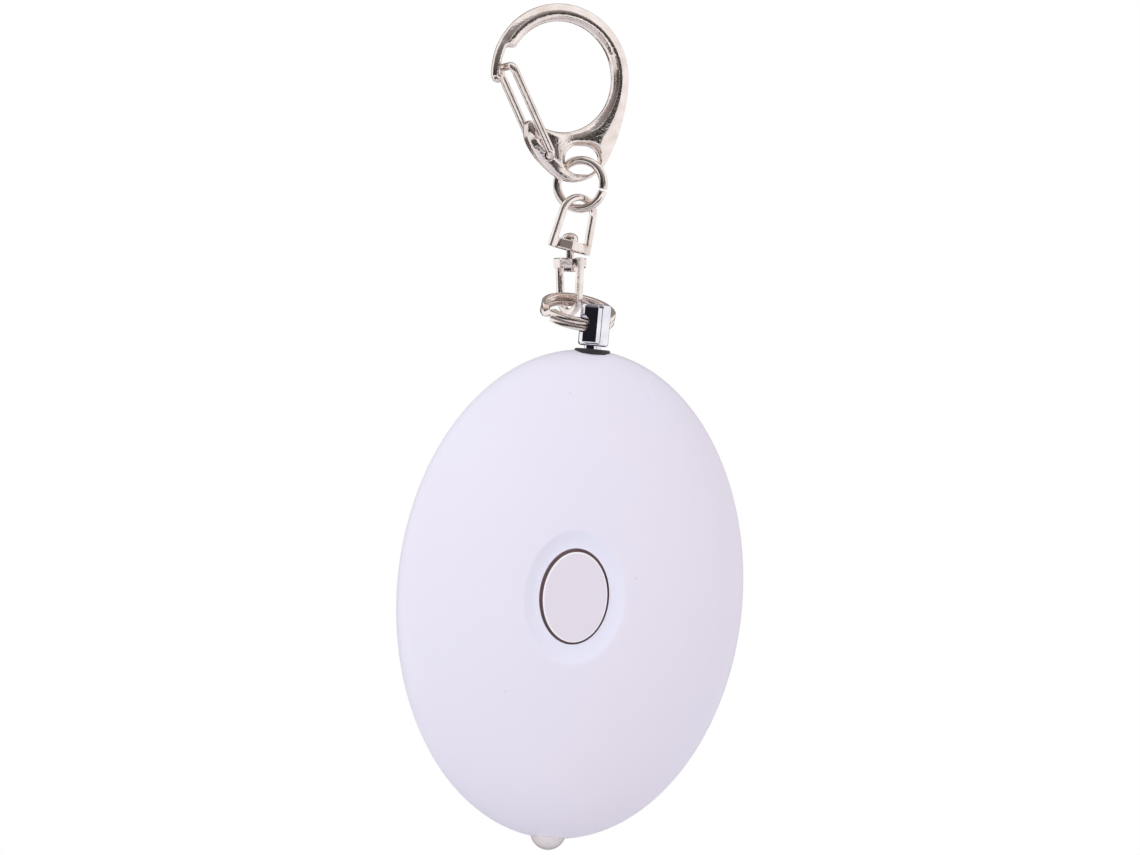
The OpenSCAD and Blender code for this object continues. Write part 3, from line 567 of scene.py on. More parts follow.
class ALARM_OT_clasp(bpy.types.Operator):
    """Cast snap hook and its wire gate"""

    bl_idname = "alarm.clasp"
    bl_label = "Clasp"

    # Outer edge of the casting: degrees about the loop's centre, and millimetres from it
    OUTLINE = (
        (-126, 8.7), (-122, 9.6), (-118, 10.3), (-113, 11.0), (-104, 12.2), (-98, 13.0), (-89, 14.3),
        (-79, 14.9), (-68, 14.6), (-60, 13.9), (-48, 12.5), (-33, 11.2), (-18, 10.5), (-5, 10.3), (20, 10.3),
        (188, 10.3))
    # Half depth of the casting by angle, in millimetres
    HALF_DEPTH = (
        (-126, 0.9), (-122, 1.45), (-116, 1.8), (-104, 1.8), (-94, 1.65), (-85, 1.35), (-76, 1.15),
        (-60, 1.1), (-40, 1.2), (0, 1.25), (145, 1.2), (160, 1.0), (188, 0.8))
    # Sections from the inner edge to the outer: share of the width, share of the half depth
    RIDGED = (
        (0, 0), (0.0, 0.25), (0.03, 0.47), (0.1, 0.74), (0.18, 0.94), (0.25, 1.0), (0.46, 1.0), (0.54, 0.94),
        (0.72, 0.68), (0.91, 0.4), (0.99, 0.23), (1.0, 0))
    FLAT = (
        (0, 0), (0.0, 0.42), (0.02, 0.68), (0.06, 0.88), (0.13, 0.97), (0.42, 1.0), (0.66, 1.0), (0.72, 0.97),
        (0.9, 0.72), (0.97, 0.58), (1.0, 0.36), (1.0, 0))
    ROUND = tuple((0.5 - math.cos(math.pi * i / 11) / 2, math.sin(math.pi * i / 11)) for i in range(12))
    # Degrees at the base's end, at the nose's end, and at the notch where the nose starts
    FIRST, LAST, NOTCH = -126, 183.5, 152
    # Degrees where the flat and the round section set in, and over how many each change runs
    FLAT_FROM, ROUND_FROM = -52, 70
    NOTCH_RUN, FLAT_RUN, ROUND_RUN = 4, 26, 75
    STEPS = 150
    # Middles of the gate's boss and of the eye, from the loop's centre
    BOSS = Vector((-3.05 * MM, 0, -8.75 * MM))
    EYE = Vector((3.5 * MM, 0, -11.5 * MM))
    VOXEL, SMOOTHING = 0.13 * MM, 3

    def section(self, clasp, degrees):
        outer = smooth_value(self.OUTLINE, degrees) * MM
        step = clamped((degrees - self.NOTCH) / self.NOTCH_RUN)
        inner = clasp.loop + step * (clasp.bar - clasp.nose)
        half = smooth_value(self.HALF_DEPTH, degrees) * MM
        plate = clamped((self.FLAT_FROM - degrees) / self.FLAT_RUN)
        wire = clamped((degrees - self.ROUND_FROM) / self.ROUND_RUN)
        points = []
        for (s, h), (t, k), (u, m) in zip(self.RIDGED, self.FLAT, self.ROUND):
            across = s + (t - s) * plate + (u - s) * wire
            depth = h + (k - h) * plate + (m - h) * wire
            points.append((inner + (outer - inner) * across, half * depth))
        a = math.radians(degrees)
        rim = points + [(r, -y) for r, y in reversed(points[1:-1])]
        return [(r * math.cos(a), -y, r * math.sin(a)) for r, y in rim]

    def hook(self, clasp):
        place = clasp_place(clasp)
        angles = [self.LAST + (self.FIRST - self.LAST) * i / self.STEPS for i in range(self.STEPS + 1)]
        hook = piece_from("clasp_hook_casting", *stitched([self.section(clasp, a) for a in angles]), place)
        tip = math.radians(self.LAST)
        reach = self.ball_reach(clasp)
        ball_at = place @ moved(reach * math.cos(tip), 0, reach * math.sin(tip))
        ball = ball_profile(clasp.ball / 2, clasp.ball / 2, 16)
        combined(hook, piece_from("ball", *lathed(ball, 32), ball_at), "UNION")
        boss_r, boss_tall = 1.45 * MM, 1.18
        stretch = Matrix.Scale(boss_tall, 4, (0, 0, 1))
        boss_at = place @ (Matrix.Translation(self.BOSS) @ stretch @ turned(math.pi / 2, "X"))
        boss = ball_profile(boss_r, clasp.base / 2, 24)
        combined(hook, piece_from("boss", *lathed(boss, 40), boss_at), "UNION")
        combined(hook, self.eye_cutter(clasp, place), "DIFFERENCE")
        bore_r, bore_reach = clasp.gate_wire / 2 + 0.08 * MM, 4 * MM
        pivot = Matrix.Translation(joint_at("gate_open")) @ place @ turned(math.pi / 2, "X")
        bore = rod(bore_r, -bore_reach, bore_reach)
        combined(hook, piece_from("bore", *lathed(bore, 32), pivot), "DIFFERENCE")
        remeshed(hook, self.VOXEL, self.SMOOTHING)
        finished(hook, "clasp", "clasp_hook", "nickel", cast_nickel(), crease=60)

    def ball_reach(self, clasp):
        """From the loop's centre to the middle of the ball at the nose."""
        inset = 0.1 * MM
        return clasp.loop + clasp.bar - clasp.ball / 2 - inset

    def eye_cutter(self, clasp, place):
        """Flared oval hole."""
        straight, flare, spread = 0.35 * MM, 1.2 * MM, 0.9 * MM
        side = (clasp.eye_width - clasp.eye_height) / 2
        loops = []
        outer = straight + flare
        for y, grow in ((-outer, spread), (-straight, 0), (straight, 0), (outer, spread)):
            r = clasp.eye_height / 2 + grow
            oval = arc((side, 0), r, -math.pi / 2, math.pi / 2, 20)
            oval += arc((-side, 0), r, math.pi / 2, 3 * math.pi / 2, 20)
            loops.append([self.EYE + Vector((x, y, z)) for x, z in oval])
        return piece_from("eye", *stitched(loops), place)

    def gate(self, clasp):
        """Wire bent to a narrow U, which hangs on its two turned-in ends."""
        wire = clasp.gate_wire
        clear, ball_gap = 0.25 * MM, 0.45 * MM
        pivot = joint_at("gate_open")
        seat_r = clasp.loop + clasp.bar - clasp.nose - wire / 2 - clear
        ball_r, apart = self.ball_reach(clasp), clasp.ball / 2 + wire / 2 + ball_gap
        before_ball = math.acos((seat_r ** 2 + ball_r ** 2 - apart ** 2) / (2 * seat_r * ball_r))
        seat_a = math.radians(self.LAST) - before_ball
        place = clasp_place(clasp)
        seat = place @ Vector((seat_r * math.cos(seat_a), 0, seat_r * math.sin(seat_a)))
        reach = (seat - pivot).length
        across = place.to_3x3() @ Vector((0, 1, 0))
        up = (seat - pivot).normalized()
        lie = Matrix((across.cross(up), across, up)).transposed().to_4x4()
        side = clasp.base / 2 + clear + wire / 2
        end, foot_bend, top_bend = 0.5 * MM, 0.7 * MM, 1 * MM
        half = [(end, 0), (side, 0), (side, reach)]
        corners = [(0, y, z) for y, z in half] + [(0, -y, z) for y, z in reversed(half)]
        path = bent_path(corners, [foot_bend, top_bend, top_bend, foot_bend])
        gate = piece_from("clasp_gate_wire", *drawn_along(path, (1, 0, 0), round_section(wire, 20)),
                          Matrix.Translation(pivot) @ lie)
        finished(gate, "gate", "clasp_gate", "nickel", nickel())

    def execute(self, context):
        clasp = context.scene.alarm_clasp
        self.hook(clasp)
        self.gate(clasp)
        return {"FINISHED"}


class ALARM_OT_jump_ring(bpy.types.Operator):
    """Open wire ring between the clasp and the swivel"""

    bl_idname = "alarm.jump_ring"
    bl_label = "Jump ring"

    OPENING, OPENS_AT = 0.28 * MM, math.radians(-9)

    def execute(self, context):
        links = context.scene.alarm_links
        r = (links.jump_outer - links.jump_wire) / 2
        gap = self.OPENING / r
        start = self.OPENS_AT + gap / 2
        path = [(x, 0, z) for x, z in arc((0, 0), r, start, start + 2 * math.pi - gap, 96)]
        wire = drawn_along(path, (0, 1, 0), round_section(links.jump_wire, 24))
        ring = piece_from("jump_ring_wire", *wire, jump_place(links))
        softened(ring, "Cut edge", 0.1 * MM, 2, 60)
        finished(ring, "jump_ring", "jump_ring", "nickel", nickel())
        return {"FINISHED"}


class ALARM_OT_swivel(bpy.types.Operator):
    """Two swivel halves and the rivet that joins them"""

    bl_idname = "alarm.swivel"
    bl_label = "Swivel"

    # The halves lean this far against each other
    TILT = math.radians(14)
    CLEAR, SLIDE = 0.25 * MM, 0.12 * MM
    # How far each plate's sides lean in towards its bail
    UPPER_DRAFT, LOWER_DRAFT = 0.24 * MM, 0.065 * MM
    RIVET_R, HEAD_R = 0.55 * MM, 1.15 * MM
    # Middle of the rivet's head, and its height above that
    HEAD_Z, HEAD_UP = 0.95 * MM, 0.85 * MM

    def half(self, name, links, place, draft):
        """Octagonal plate with a bail of flat strip."""
        strip, plate, edge = links.strip_width, links.plate, 0.16 * MM
        top_r = (links.swivel_top - strip) / 2
        top_z = links.swivel_height - plate / 2 - links.swivel_top / 2
        foot = Vector(((links.swivel_width - strip) / 2, -plate / 2 - top_z))
        touch = math.atan2(foot.y, foot.x) + math.acos(top_r / foot.length)
        bail = arc((0, top_z), top_r, touch, math.pi - touch, 40)
        path = [(foot.x, foot.y + top_z)] + bail + [(-foot.x, foot.y + top_z)]
        section = rounded_section(strip, links.strip_depth, 0.3 * MM)
        piece = piece_from(name, *drawn_along([(x, 0, z) for x, z in path], (0, 1, 0), section), place)
        corner = links.plate_flats / 2 / math.cos(math.pi / 8)
        levels = (
            (-plate / 2, edge), (-plate / 2 + edge, 0), (plate / 2 - edge, draft), (plate / 2, edge + draft))
        corners = [math.pi / 8 * (2 * k + 1) for k in range(8)]
        loops = [[((corner - inset) * math.cos(a), (corner - inset) * math.sin(a), z) for a in corners]
                 for z, inset in levels]
        combined(piece, piece_from("plate", *stitched(loops), place), "UNION")
        reach = links.swivel_width - strip
        web = rounded_section(links.strip_depth, plate, 0.2 * MM)
        bar = drawn_along([(-reach / 2, 0, 0), (reach / 2, 0, 0)], (0, 0, 1), web)
        return combined(piece, piece_from("web", *bar, place), "UNION")

    def seat(self, plate):
        """Profile of the upper plate's bore, which widens to a bowl round the rivet's head."""
        bore_r = self.RIVET_R / math.cos(self.TILT) + plate / 2 * math.tan(self.TILT) + self.SLIDE
        aside, level = self.HEAD_Z * math.sin(self.TILT), self.HEAD_Z * math.cos(self.TILT)
        bowl = []
        for h in (0.1 * MM, 0.3 * MM, 0.5 * MM, plate / 2, plate):
            wide = math.sqrt(max(0.0, self.HEAD_R ** 2 - min(0.0, h - level) ** 2))
            bowl.append((max(bore_r, aside + wide + self.SLIDE / 2), h))
        return [(0, -plate), (bore_r, -plate)] + bowl + [(0, plate)]

    def rivet(self, under):
        """Profile of the rivet, with a flat head under the lower plate and a ball on the upper one."""
        rivet_r, head_r = self.RIVET_R, self.HEAD_R
        foot_t, soft = 0.5 * MM, 0.12 * MM
        foot = under - foot_t
        neck = -math.acos(rivet_r / head_r)
        profile = [(0, foot), (head_r - soft, foot), (head_r, foot + soft), (head_r, foot + foot_t),
                   (rivet_r, foot + foot_t)]
        for i in range(29):
            a = neck + (math.pi / 2 - neck) * i / 28
            up = head_r if a < 0 else self.HEAD_UP
            profile.append((head_r * math.cos(a), self.HEAD_Z + up * math.sin(a)))
        return profile

    def execute(self, context):
        links = context.scene.alarm_links
        plate = links.plate
        upper_at = swivel_place(links.upper_roll, links.upper_yaw)
        lower_at = swivel_place(-links.lower_roll, links.lower_yaw)
        upper = self.half("swivel_upper_casting", links, upper_at, self.UPPER_DRAFT)
        combined(upper, piece_from("bore", *lathed(self.seat(plate), 40), upper_at), "DIFFERENCE")
        finished(upper, "swivel_upper", "swivel_upper_bail", "nickel", nickel(), crease=28)
        drop = plate / 2 * math.cos(self.TILT) + links.swivel_width / 2 * math.sin(self.TILT) + self.CLEAR
        turned_over = lower_at @ moved(z=-drop - plate / 2) @ turned(math.pi, "X")
        lower = self.half("swivel_lower_casting", links, turned_over, self.LOWER_DRAFT)
        finished(lower, "swivel_lower", "swivel_lower_bail", "nickel", nickel(), crease=28)
        rivet = piece_from("swivel_rivet_turned", *lathed(self.rivet(-drop - plate), 40), lower_at)
        finished(rivet, "swivel_lower", "swivel_rivet", "nickel", nickel())
        return {"FINISHED"}


class ALARM_OT_split_ring(bpy.types.Operator):
    """Two-coil ring of flattened wire"""

    bl_idname = "alarm.split_ring"
    bl_label = "Split ring"

    START, TURNS, STEPS = math.radians(-138), 1.94, 200
    CORNER = 0.2 * MM

    def execute(self, context):
        links = context.scene.alarm_links
        r = split_radius(links)
        depth = (links.split_height - links.split_gap) / 2
        rise = links.split_height - depth
        step_from = self.START + 2 * math.pi * (self.TURNS - 1)
        step_to = self.START + 2 * math.pi
        path = []
        for i in range(self.STEPS + 1):
            a = self.START + 2 * math.pi * self.TURNS * i / self.STEPS
            t = clamped((a - step_from) / (step_to - step_from))
            path.append((r * math.cos(a), r * math.sin(a), rise * (t * t * (3 - 2 * t) - 0.5)))
        section = rounded_section(links.split_width, depth, self.CORNER)
        ring = piece_from("split_ring_wire", *drawn_along(path, (0, 0, 1), section), split_place(links))
        finished(ring, "split_ring", "split_ring", "nickel", nickel())
        return {"FINISHED"}


class ALARM_OT_pin(bpy.types.Operator):
    """Chrome pull pin and the black bush it plugs into"""

    bl_idname = "alarm.pin"
    bl_label = "Pull pin"

    # Underside of the head and tip of the shank, above the case's middle
    HEAD_Z, TIP_Z = 34.55 * MM, 22.95 * MM

    def pin(self, case, place):
        r, shank_r = case.pin / 2, case.shank / 2
        foot, top = self.HEAD_Z, self.HEAD_Z + case.pin_length
        edge, soft, tip_in, tip_up = 0.35 * MM, 0.12 * MM, 0.4 * MM, 0.8 * MM
        profile = [(0, self.TIP_Z), (shank_r - tip_in, self.TIP_Z), (shank_r, self.TIP_Z + tip_up)]
        profile += [(shank_r, foot), (r - edge, foot), (r - soft, foot + soft)]
        profile += [(r, foot + edge + (case.pin_length - 2 * edge) * i / 24) for i in range(25)]
        profile += [(r - soft, top - soft), (r - edge, top), (0, top)]
        pin = piece_from("pull_pin_turned", *lathed(profile, 96), place)
        axis = Vector(next(j["axis"] for j in frame["joints"] if j["name"] == "pin_swing"))
        lie = turned(math.atan2(axis.y, axis.x), "Z") @ turned(math.pi / 2, "Y")
        hole = rod(case.pin_hole / 2, -2 * r, 2 * r)
        combined(pin, piece_from("hole", *lathed(hole, 48), place @ moved(z=PIN_HOLE_Z) @ lie), "DIFFERENCE")
        softened(pin, "Hole rim", 0.14 * MM, 3, 50)
        # Chrome is a cold, hard mirror, and its ripple is too shallow to blur it
        tone = bpy.context.scene.alarm_finish.chrome
        chrome = made_once("Chrome plate", plated_metal, tone, linear("DAD8E2"), 0.05, 1.1, 0.015)
        finished(pin, "pin", "pull_pin", "chrome", chrome, crease=30)

    def bush(self, case, place):
        bush_r, sleeve_r, bore_r = case.bush / 2, case.shank / 2 + 0.8 * MM, case.shank / 2 + 0.12 * MM
        thick, lip_r, mouth = 0.7 * MM, 0.25 * MM, 0.2 * MM
        top = BUSH_SEAT_Z + thick
        profile = [(bore_r, BUSH_FOOT_Z), (sleeve_r, BUSH_FOOT_Z)]
        profile += [(sleeve_r, BUSH_SEAT_Z), (bush_r, BUSH_SEAT_Z)]
        profile += arc((bush_r - lip_r, top - lip_r), lip_r, 0, math.pi / 2, 5)
        profile += [(bore_r + mouth, top), (bore_r, top - mouth)]
        bush = piece_from("pin_bush_moulded", *lathed(profile, 72), place)
        # Black ABS is satin, with faint warm clouds
        tone = bpy.context.scene.alarm_finish.black
        black = made_once("Black ABS", moulded_abs, tone, linear("3A3336"), 0.5)
        finished(bush, "alarm", "pin_bush", "black_plastic", black)

    def execute(self, context):
        case = context.scene.alarm_case
        place = case_place()
        self.pin(case, place)
        self.bush(case, place)
        return {"FINISHED"}


class ALARM_OT_case(bpy.types.Operator):
    """Front shell with its soft dish, and the back shell's finish"""

    bl_idname = "alarm.case"
    bl_label = "Case"

    # Steps round the case, and along its wall: in the dish, from there to the seam, and inside
    STEPS, DISH_STEPS, SKIN_STEPS, ROOM_STEPS = 160, 20, 34, 20
    # The button sits a little right and low in its hole, as moulded parts do
    HOLE_SIDE, HOLE_UP, HOLE_SPARE = -0.12 * MM, 0.09 * MM, 0.05 * MM
    # Depth of the dish, and how far out the fine steps go, as a share of its width
    DISH_DEPTH, DISH_REACH = 0.82 * MM, 1.09
    SEAM = 0.14 * MM
    # The hole's inner end, as a share of its outer end
    HOLE_FLARE = 1.15
    LAMP_GAP = 0.04 * MM
    # Faces that get the gap's painted shade and the dish's painted bluer sheen: share of the button's and the
    # dish's size, and slope
    GAP_SHARE, DISH_SHARE, SLOPE = 0.56, 0.5, 0.5

    def dish_drop(self, share):
        """How far the dish lies under the egg's skin: share is 0 at the hole and 1 at the dish's rim."""
        bowl, crisp = 1.8, 0.91
        if share < crisp:
            return self.DISH_DEPTH * (1 - share ** bowl)
        left = 1 - crisp ** bowl
        fade = 2 * left / (bowl * crisp ** (bowl - 1))
        return self.DISH_DEPTH * left * max(0.0, 1 - (share - crisp) / fade) ** 2

    def front_loop(self, case, turn):
        """Section through the front shell's wall, from the hole out to the seam and back inside."""
        a, b, c = case.width / 2, case.depth / 2, case.height / 2
        across, upright = math.cos(turn), math.sin(turn)
        gap = case.button_gap + self.HOLE_SPARE
        hole_w, hole_h = case.button_width / 2 + gap, case.button_height / 2 + gap
        hole = 1 / math.hypot(across * a / hole_w, upright * c / hole_h)
        rim = 1 / math.hypot(across * a / (case.dish_width / 2), upright * c / (case.dish_height / 2))
        wide = hole + self.DISH_REACH * (rim - hole)
        skin = [hole + (wide - hole) * k / self.DISH_STEPS for k in range(self.DISH_STEPS + 1)]
        start = math.asin(wide)
        steps = self.SKIN_STEPS
        skin += [math.sin(start + (math.pi / 2 - start) * k / steps) for k in range(1, steps)]
        loop = []
        for rho in skin:
            share = (rho - hole) / (rim - hole)
            side = max(0.0, 1 - share)
            x = a * rho * across + side * self.HOLE_SIDE
            z = c * rho * upright + side * self.HOLE_UP
            loop.append((x, self.dish_drop(share) - b * math.sqrt(1 - rho * rho), z))
        seam = self.SEAM
        loop += [(a * across, -seam, c * upright), ((a - seam) * across, 0, (c - seam) * upright)]
        room_a, room_b, room_c = a - case.wall, b - case.wall, c - case.wall
        last = math.pi / 2 - math.asin(hole * self.HOLE_FLARE)
        for k in range(self.ROOM_STEPS + 1):
            lean = last * k / self.ROOM_STEPS
            out = math.cos(lean)
            loop.append((room_a * out * across, -room_b * math.sin(lean), room_c * out * upright))
        x, _, z = loop[0]
        back = room_b * math.sqrt(1 - (x / room_a) ** 2 - (z / room_c) ** 2)
        loop.append((x, -back, z))
        return loop

    def lamp_lip(self, case, place):
        """Low rim that meets the lamp along a level line."""
        low, high, wide = -33.52 * MM, -31.25 * MM, 4.7 * MM
        inner, edge, land = case.lamp / 2 + self.LAMP_GAP, 0.05 * MM, 0.12 * MM
        profile = [(inner, low + edge), (inner + edge, low), (inner + land, low), (wide, high), (inner, high)]
        turns = [math.pi * (1 + i / 40) for i in range(41)]
        loops = [[(r * math.cos(t), r * math.sin(t), z) for r, z in profile] for t in turns]
        return piece_from("lip", *stitched(loops), place)

    def front(self, case, finish):
        place = case_place()
        loops = [self.front_loop(case, t) for t in full_turn(self.STEPS)]
        front = piece_from("front_shell_moulded", *stitched(loops, around=True), place)
        socket_r, collar_gap, far, lamp_seat = 2.1 * MM, 0.1 * MM, 40 * MM, -27.5 * MM
        openings = (
            rod(socket_r, BUSH_FOOT_Z, far),
            rod(case.bush / 2 + collar_gap, BUSH_SEAT_Z, far),
            rod(case.lamp / 2 + self.LAMP_GAP, -far, lamp_seat),
        )
        for opening in openings:
            combined(front, piece_from("opening", *lathed(opening, 64), place), "DIFFERENCE")
        combined(front, self.lamp_lip(case, place), "UNION")
        # The dish comes from a polished patch of the mould, so it is glossier; it is also tinted a little
        # bluer, as a painted sheen
        polished_painted_sheen = made_once("Polished ABS dish", moulded_abs, finish.dish, finish.shell, 0.34)
        looks = (white_abs(), gap_painted_shade_abs(), polished_painted_sheen)
        finished(front, "alarm", "front_shell", "white_plastic", *looks, crease=32)
        # Painted shade goes on the hole's steep walls, and the dish's painted sheen on its front faces
        for face in front.data.polygons:
            x, _, z = face.center - place.translation
            near_hole = math.hypot(x / case.button_width, z / case.button_height) < self.GAP_SHARE
            in_dish = math.hypot(x / case.dish_width, z / case.dish_height) < self.DISH_SHARE
            if near_hole and abs(face.normal.y) < self.SLOPE:
                face.material_index = 1
            elif in_dish and face.normal.y < -self.SLOPE:
                face.material_index = 2

    def execute(self, context):
        self.front(context.scene.alarm_case, context.scene.alarm_finish)
        rear = frame["nodes"]["rear_shell"]
        rear.data.materials.clear()
        rear.data.materials.append(white_abs())
        softened(rear, "Soft edges", 0.14 * MM, 2, 40)
        return {"FINISHED"}


class ALARM_OT_button(bpy.types.Operator):
    """Oval panic button"""

    bl_idname = "alarm.button"
    bl_label = "Button"

    # Radius of the soft edge, width of the flange past the gap, and thickness of the flange
    RIM, FLANGE, FLANGE_T = 0.2 * MM, 0.9 * MM, 0.8 * MM
    # The stem stands out behind the flange, and starts a little inside it
    STEM_R, STEM_OUT, STEM_LENGTH = 1.8 * MM, 0.3 * MM, 0.4 * MM
    # Faces that get the gap's painted shade and the edge's painted highlight: how far they lie behind the
    # front, in shares of the rim
    SIDE_FROM, EDGE_FROM = 1.02, 0.02

    def execute(self, context):
        case = context.scene.alarm_case
        low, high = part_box("button_cap")
        middle = case_place().translation
        face, back, rim = low.y, high.y, self.RIM
        wide, tall = case.button_width, case.button_height
        flange = self.FLANGE + case.button_gap
        under = back - self.STEM_OUT
        flange_y = under - self.FLANGE_T
        profile = (
            (rim * 2.2, face), (rim, face), (rim * 0.72, face + rim * 0.1), (rim * 0.1, face + rim * 0.72),
            (0, face + rim), (0, flange_y), (-flange, flange_y), (-flange, under))
        loops = []
        for turn in full_turn(128):
            across, upright = math.cos(turn), math.sin(turn)
            normal = Vector((across / wide, 0, upright / tall)).normalized()
            edge = Vector((middle.x + wide / 2 * across, 0, middle.z + tall / 2 * upright))
            ring = [edge - normal * inset + Vector((0, y, 0)) for inset, y in profile]
            loops.append([Vector((middle.x, face, middle.z)), *ring, Vector((middle.x, under, middle.z))])
        cap = piece_from("button_cap_moulded", *stitched(loops, around=True))
        stem = rod(self.STEM_R, 0, self.STEM_LENGTH)
        at = Matrix.Translation((middle.x, back, middle.z)) @ turned(math.pi / 2, "X")
        combined(cap, piece_from("stem", *lathed(stem, 40), at), "UNION")
        finish = context.scene.alarm_finish
        # The button is greyer than the case; its edge is glossier, and painted pale as a highlight
        face_abs = made_once("Moulded ABS button", moulded_abs, finish.button, linear("EAE2E7"), 0.4)
        edge_highlight_abs = made_once("Rubbed ABS edge", moulded_abs, finish.button_edge_highlight, finish.button_edge_highlight, 0.3)
        finished(cap, "button", "button_cap", "button_plastic", face_abs, gap_painted_shade_abs(), edge_highlight_abs, crease=40)
        # Painted shade on the button's sides, and a painted highlight on its edge
        for polygon in cap.data.polygons:
            sunk = polygon.center.y - face
            if sunk > rim * self.SIDE_FROM:
                polygon.material_index = 1
            elif sunk > rim * self.EDGE_FROM:
                polygon.material_index = 2
        return {"FINISHED"}


class ALARM_OT_lamp(bpy.types.Operator):
    """Clear lamp at the bottom, with its lead frame inside"""

    bl_idname = "alarm.lamp"
    bl_label = "Lamp"

    FLANGE_T, FLANGE_OUT = 1 * MM, 0.4 * MM
    CUP_R, POST_R, CHIP = 1.5 * MM, 0.3 * MM, 0.16 * MM
    # Places of the cup's post and of the other lead, left and right of the lamp's axis
    POST_X, LEAD_X = -0.4 * MM, 1.5 * MM

    def execute(self, context):
        low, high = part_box("led")
        r = context.scene.alarm_case.lamp / 2
        middle = case_place().translation
        place = Matrix.Translation((middle.x, middle.y, low.z))
        top = high.z - low.z
        neck, flange_r = top - self.FLANGE_T, r + self.FLANGE_OUT
        dome = [(r * math.sin(t), r - r * math.cos(t)) for t in (math.pi / 2 * i / 20 for i in range(21))]
        profile = dome + [(r, neck), (flange_r, neck), (flange_r, top), (0, top)]
        lens = piece_from("led_lens", *lathed(profile, 64), place)
        epoxy = made_once("Clear epoxy", clear_epoxy, context.scene.alarm_finish.lens, linear("A5726C"))
        finished(lens, "alarm", "led", "clear_epoxy", epoxy)
        # Silver plate is a pale, slightly soft mirror, which makes the lens look pale from below
        bright, dull = linear("EDEBE8"), linear("D4D1CE")
        silver = made_once("Silver-plated frame", plated_metal, bright, dull, 0.2, 0.5, 0.01)
        cup_r, post_r = self.CUP_R, self.POST_R
        cup_z, post_top = r + 0.3 * MM, top - 0.4 * MM
        cup = [(0, cup_z + 0.6 * MM), (0.6 * cup_r, cup_z + 0.45 * MM), (cup_r - 0.06 * MM, cup_z)]
        cup += [(cup_r, cup_z), (cup_r, cup_z + 0.7 * MM), (post_r, cup_z + 1.3 * MM)]
        cup += [(post_r, post_top), (0, post_top)]
        anvil = piece_from("led_cup", *lathed(cup, 40), place @ moved(self.POST_X))
        finished(anvil, "alarm", None, "steel", silver)
        left, right = -self.CHIP, self.CHIP * 2
        blade = []
        for z, grow in ((cup_z + 0.1 * MM, 1.0), (cup_z + 0.5 * MM, 1.6), (post_top, 1.2)):
            deep = 2 * self.CHIP * grow
            blade.append([(left, -deep, z), (right, -deep, z), (right, deep, z), (left, deep, z)])
        lead = piece_from("led_lead_frame", *stitched(blade), place @ moved(self.LEAD_X))
        finished(lead, "alarm", None, "steel", silver)
        return {"FINISHED"}


class ALARM_OT_inner_parts(bpy.types.Operator):
    """Finishes of the screws and the parts inside the case"""

    bl_idname = "alarm.inner_parts"
    bl_label = "Inner parts"

    # Finish: nodes, two tones, grain in millimetres, roughness, metallic
    FINISHES = (
        # Grey, soft mirror with a fine mottle
        ("Zinc-plated steel",
         ("case_screws", "board_screws", "led_leads", "battery_contact_positive", "battery_contact_negative"),
         "B5B7BA", "96989C", 0.5, 0.3, 1.0),
        # Paler and smoother than the zinc
        ("Nickel-plated cell can", ("battery_cell_1", "battery_cell_2", "battery_cell_3"),
         "C6C7C9", "A9AAAD", 1.2, 0.25, 1.0),
        # Yellow mirror, tarnished in patches
        ("Sheet brass", ("siren_disc", "contact_leaf", "leaf_terminal", "contact_fixed"),
         "D0AC58", "B48C3C", 0.8, 0.3, 1.0),
        # Red-brown gloss of lacquer over copper
        ("Enamelled copper wire", ("boost_coil_winding",), "B5662E", "8E4A20", 0.2, 0.35, 1.0),
        # Near black and matt, as pressed powder is
        ("Sintered ferrite", ("boost_coil_core",), "3E3D40", "2C2B2E", 0.15, 0.7, 0.0),
        # Green gloss with a faint mottle from the glass cloth under it
        ("Solder mask on laminate", ("circuit_board",), "2F6B3C", "275C33", 0.6, 0.35, 0.0),
        # Cream and nearly matt, as it has no glaze
        ("Fired ceramic", ("siren_ceramic",), "EFECE2", "E2DCCB", 0.4, 0.5, 0.0),
        # Red with a soft gloss
        ("Vinyl wire", ("siren_wires",), "A8322D", "962A26", 0.5, 0.45, 0.0),
        # Dark blue with a soft gloss
        ("Vinyl sleeve", ("capacitor",), "2C3F66", "263757", 0.7, 0.4, 0.0),
        # Black and satin
        ("Moulded epoxy",
         ("control_chip", "driver_transistor", "resistors", "tact_switch_body", "tact_switch_plunger",
          "battery_holder", "pin_switch_housing"),
         "2B282A", "343032", 0.3, 0.55, 0.0),
    )

    def execute(self, context):
        for name, nodes, *look in self.FINISHES:
            finish = made_once(name, plain_finish, *look)
            for node in nodes:
                mesh = frame["nodes"][node].data
                mesh.materials.clear()
                mesh.materials.append(finish)
        return {"FINISHED"}


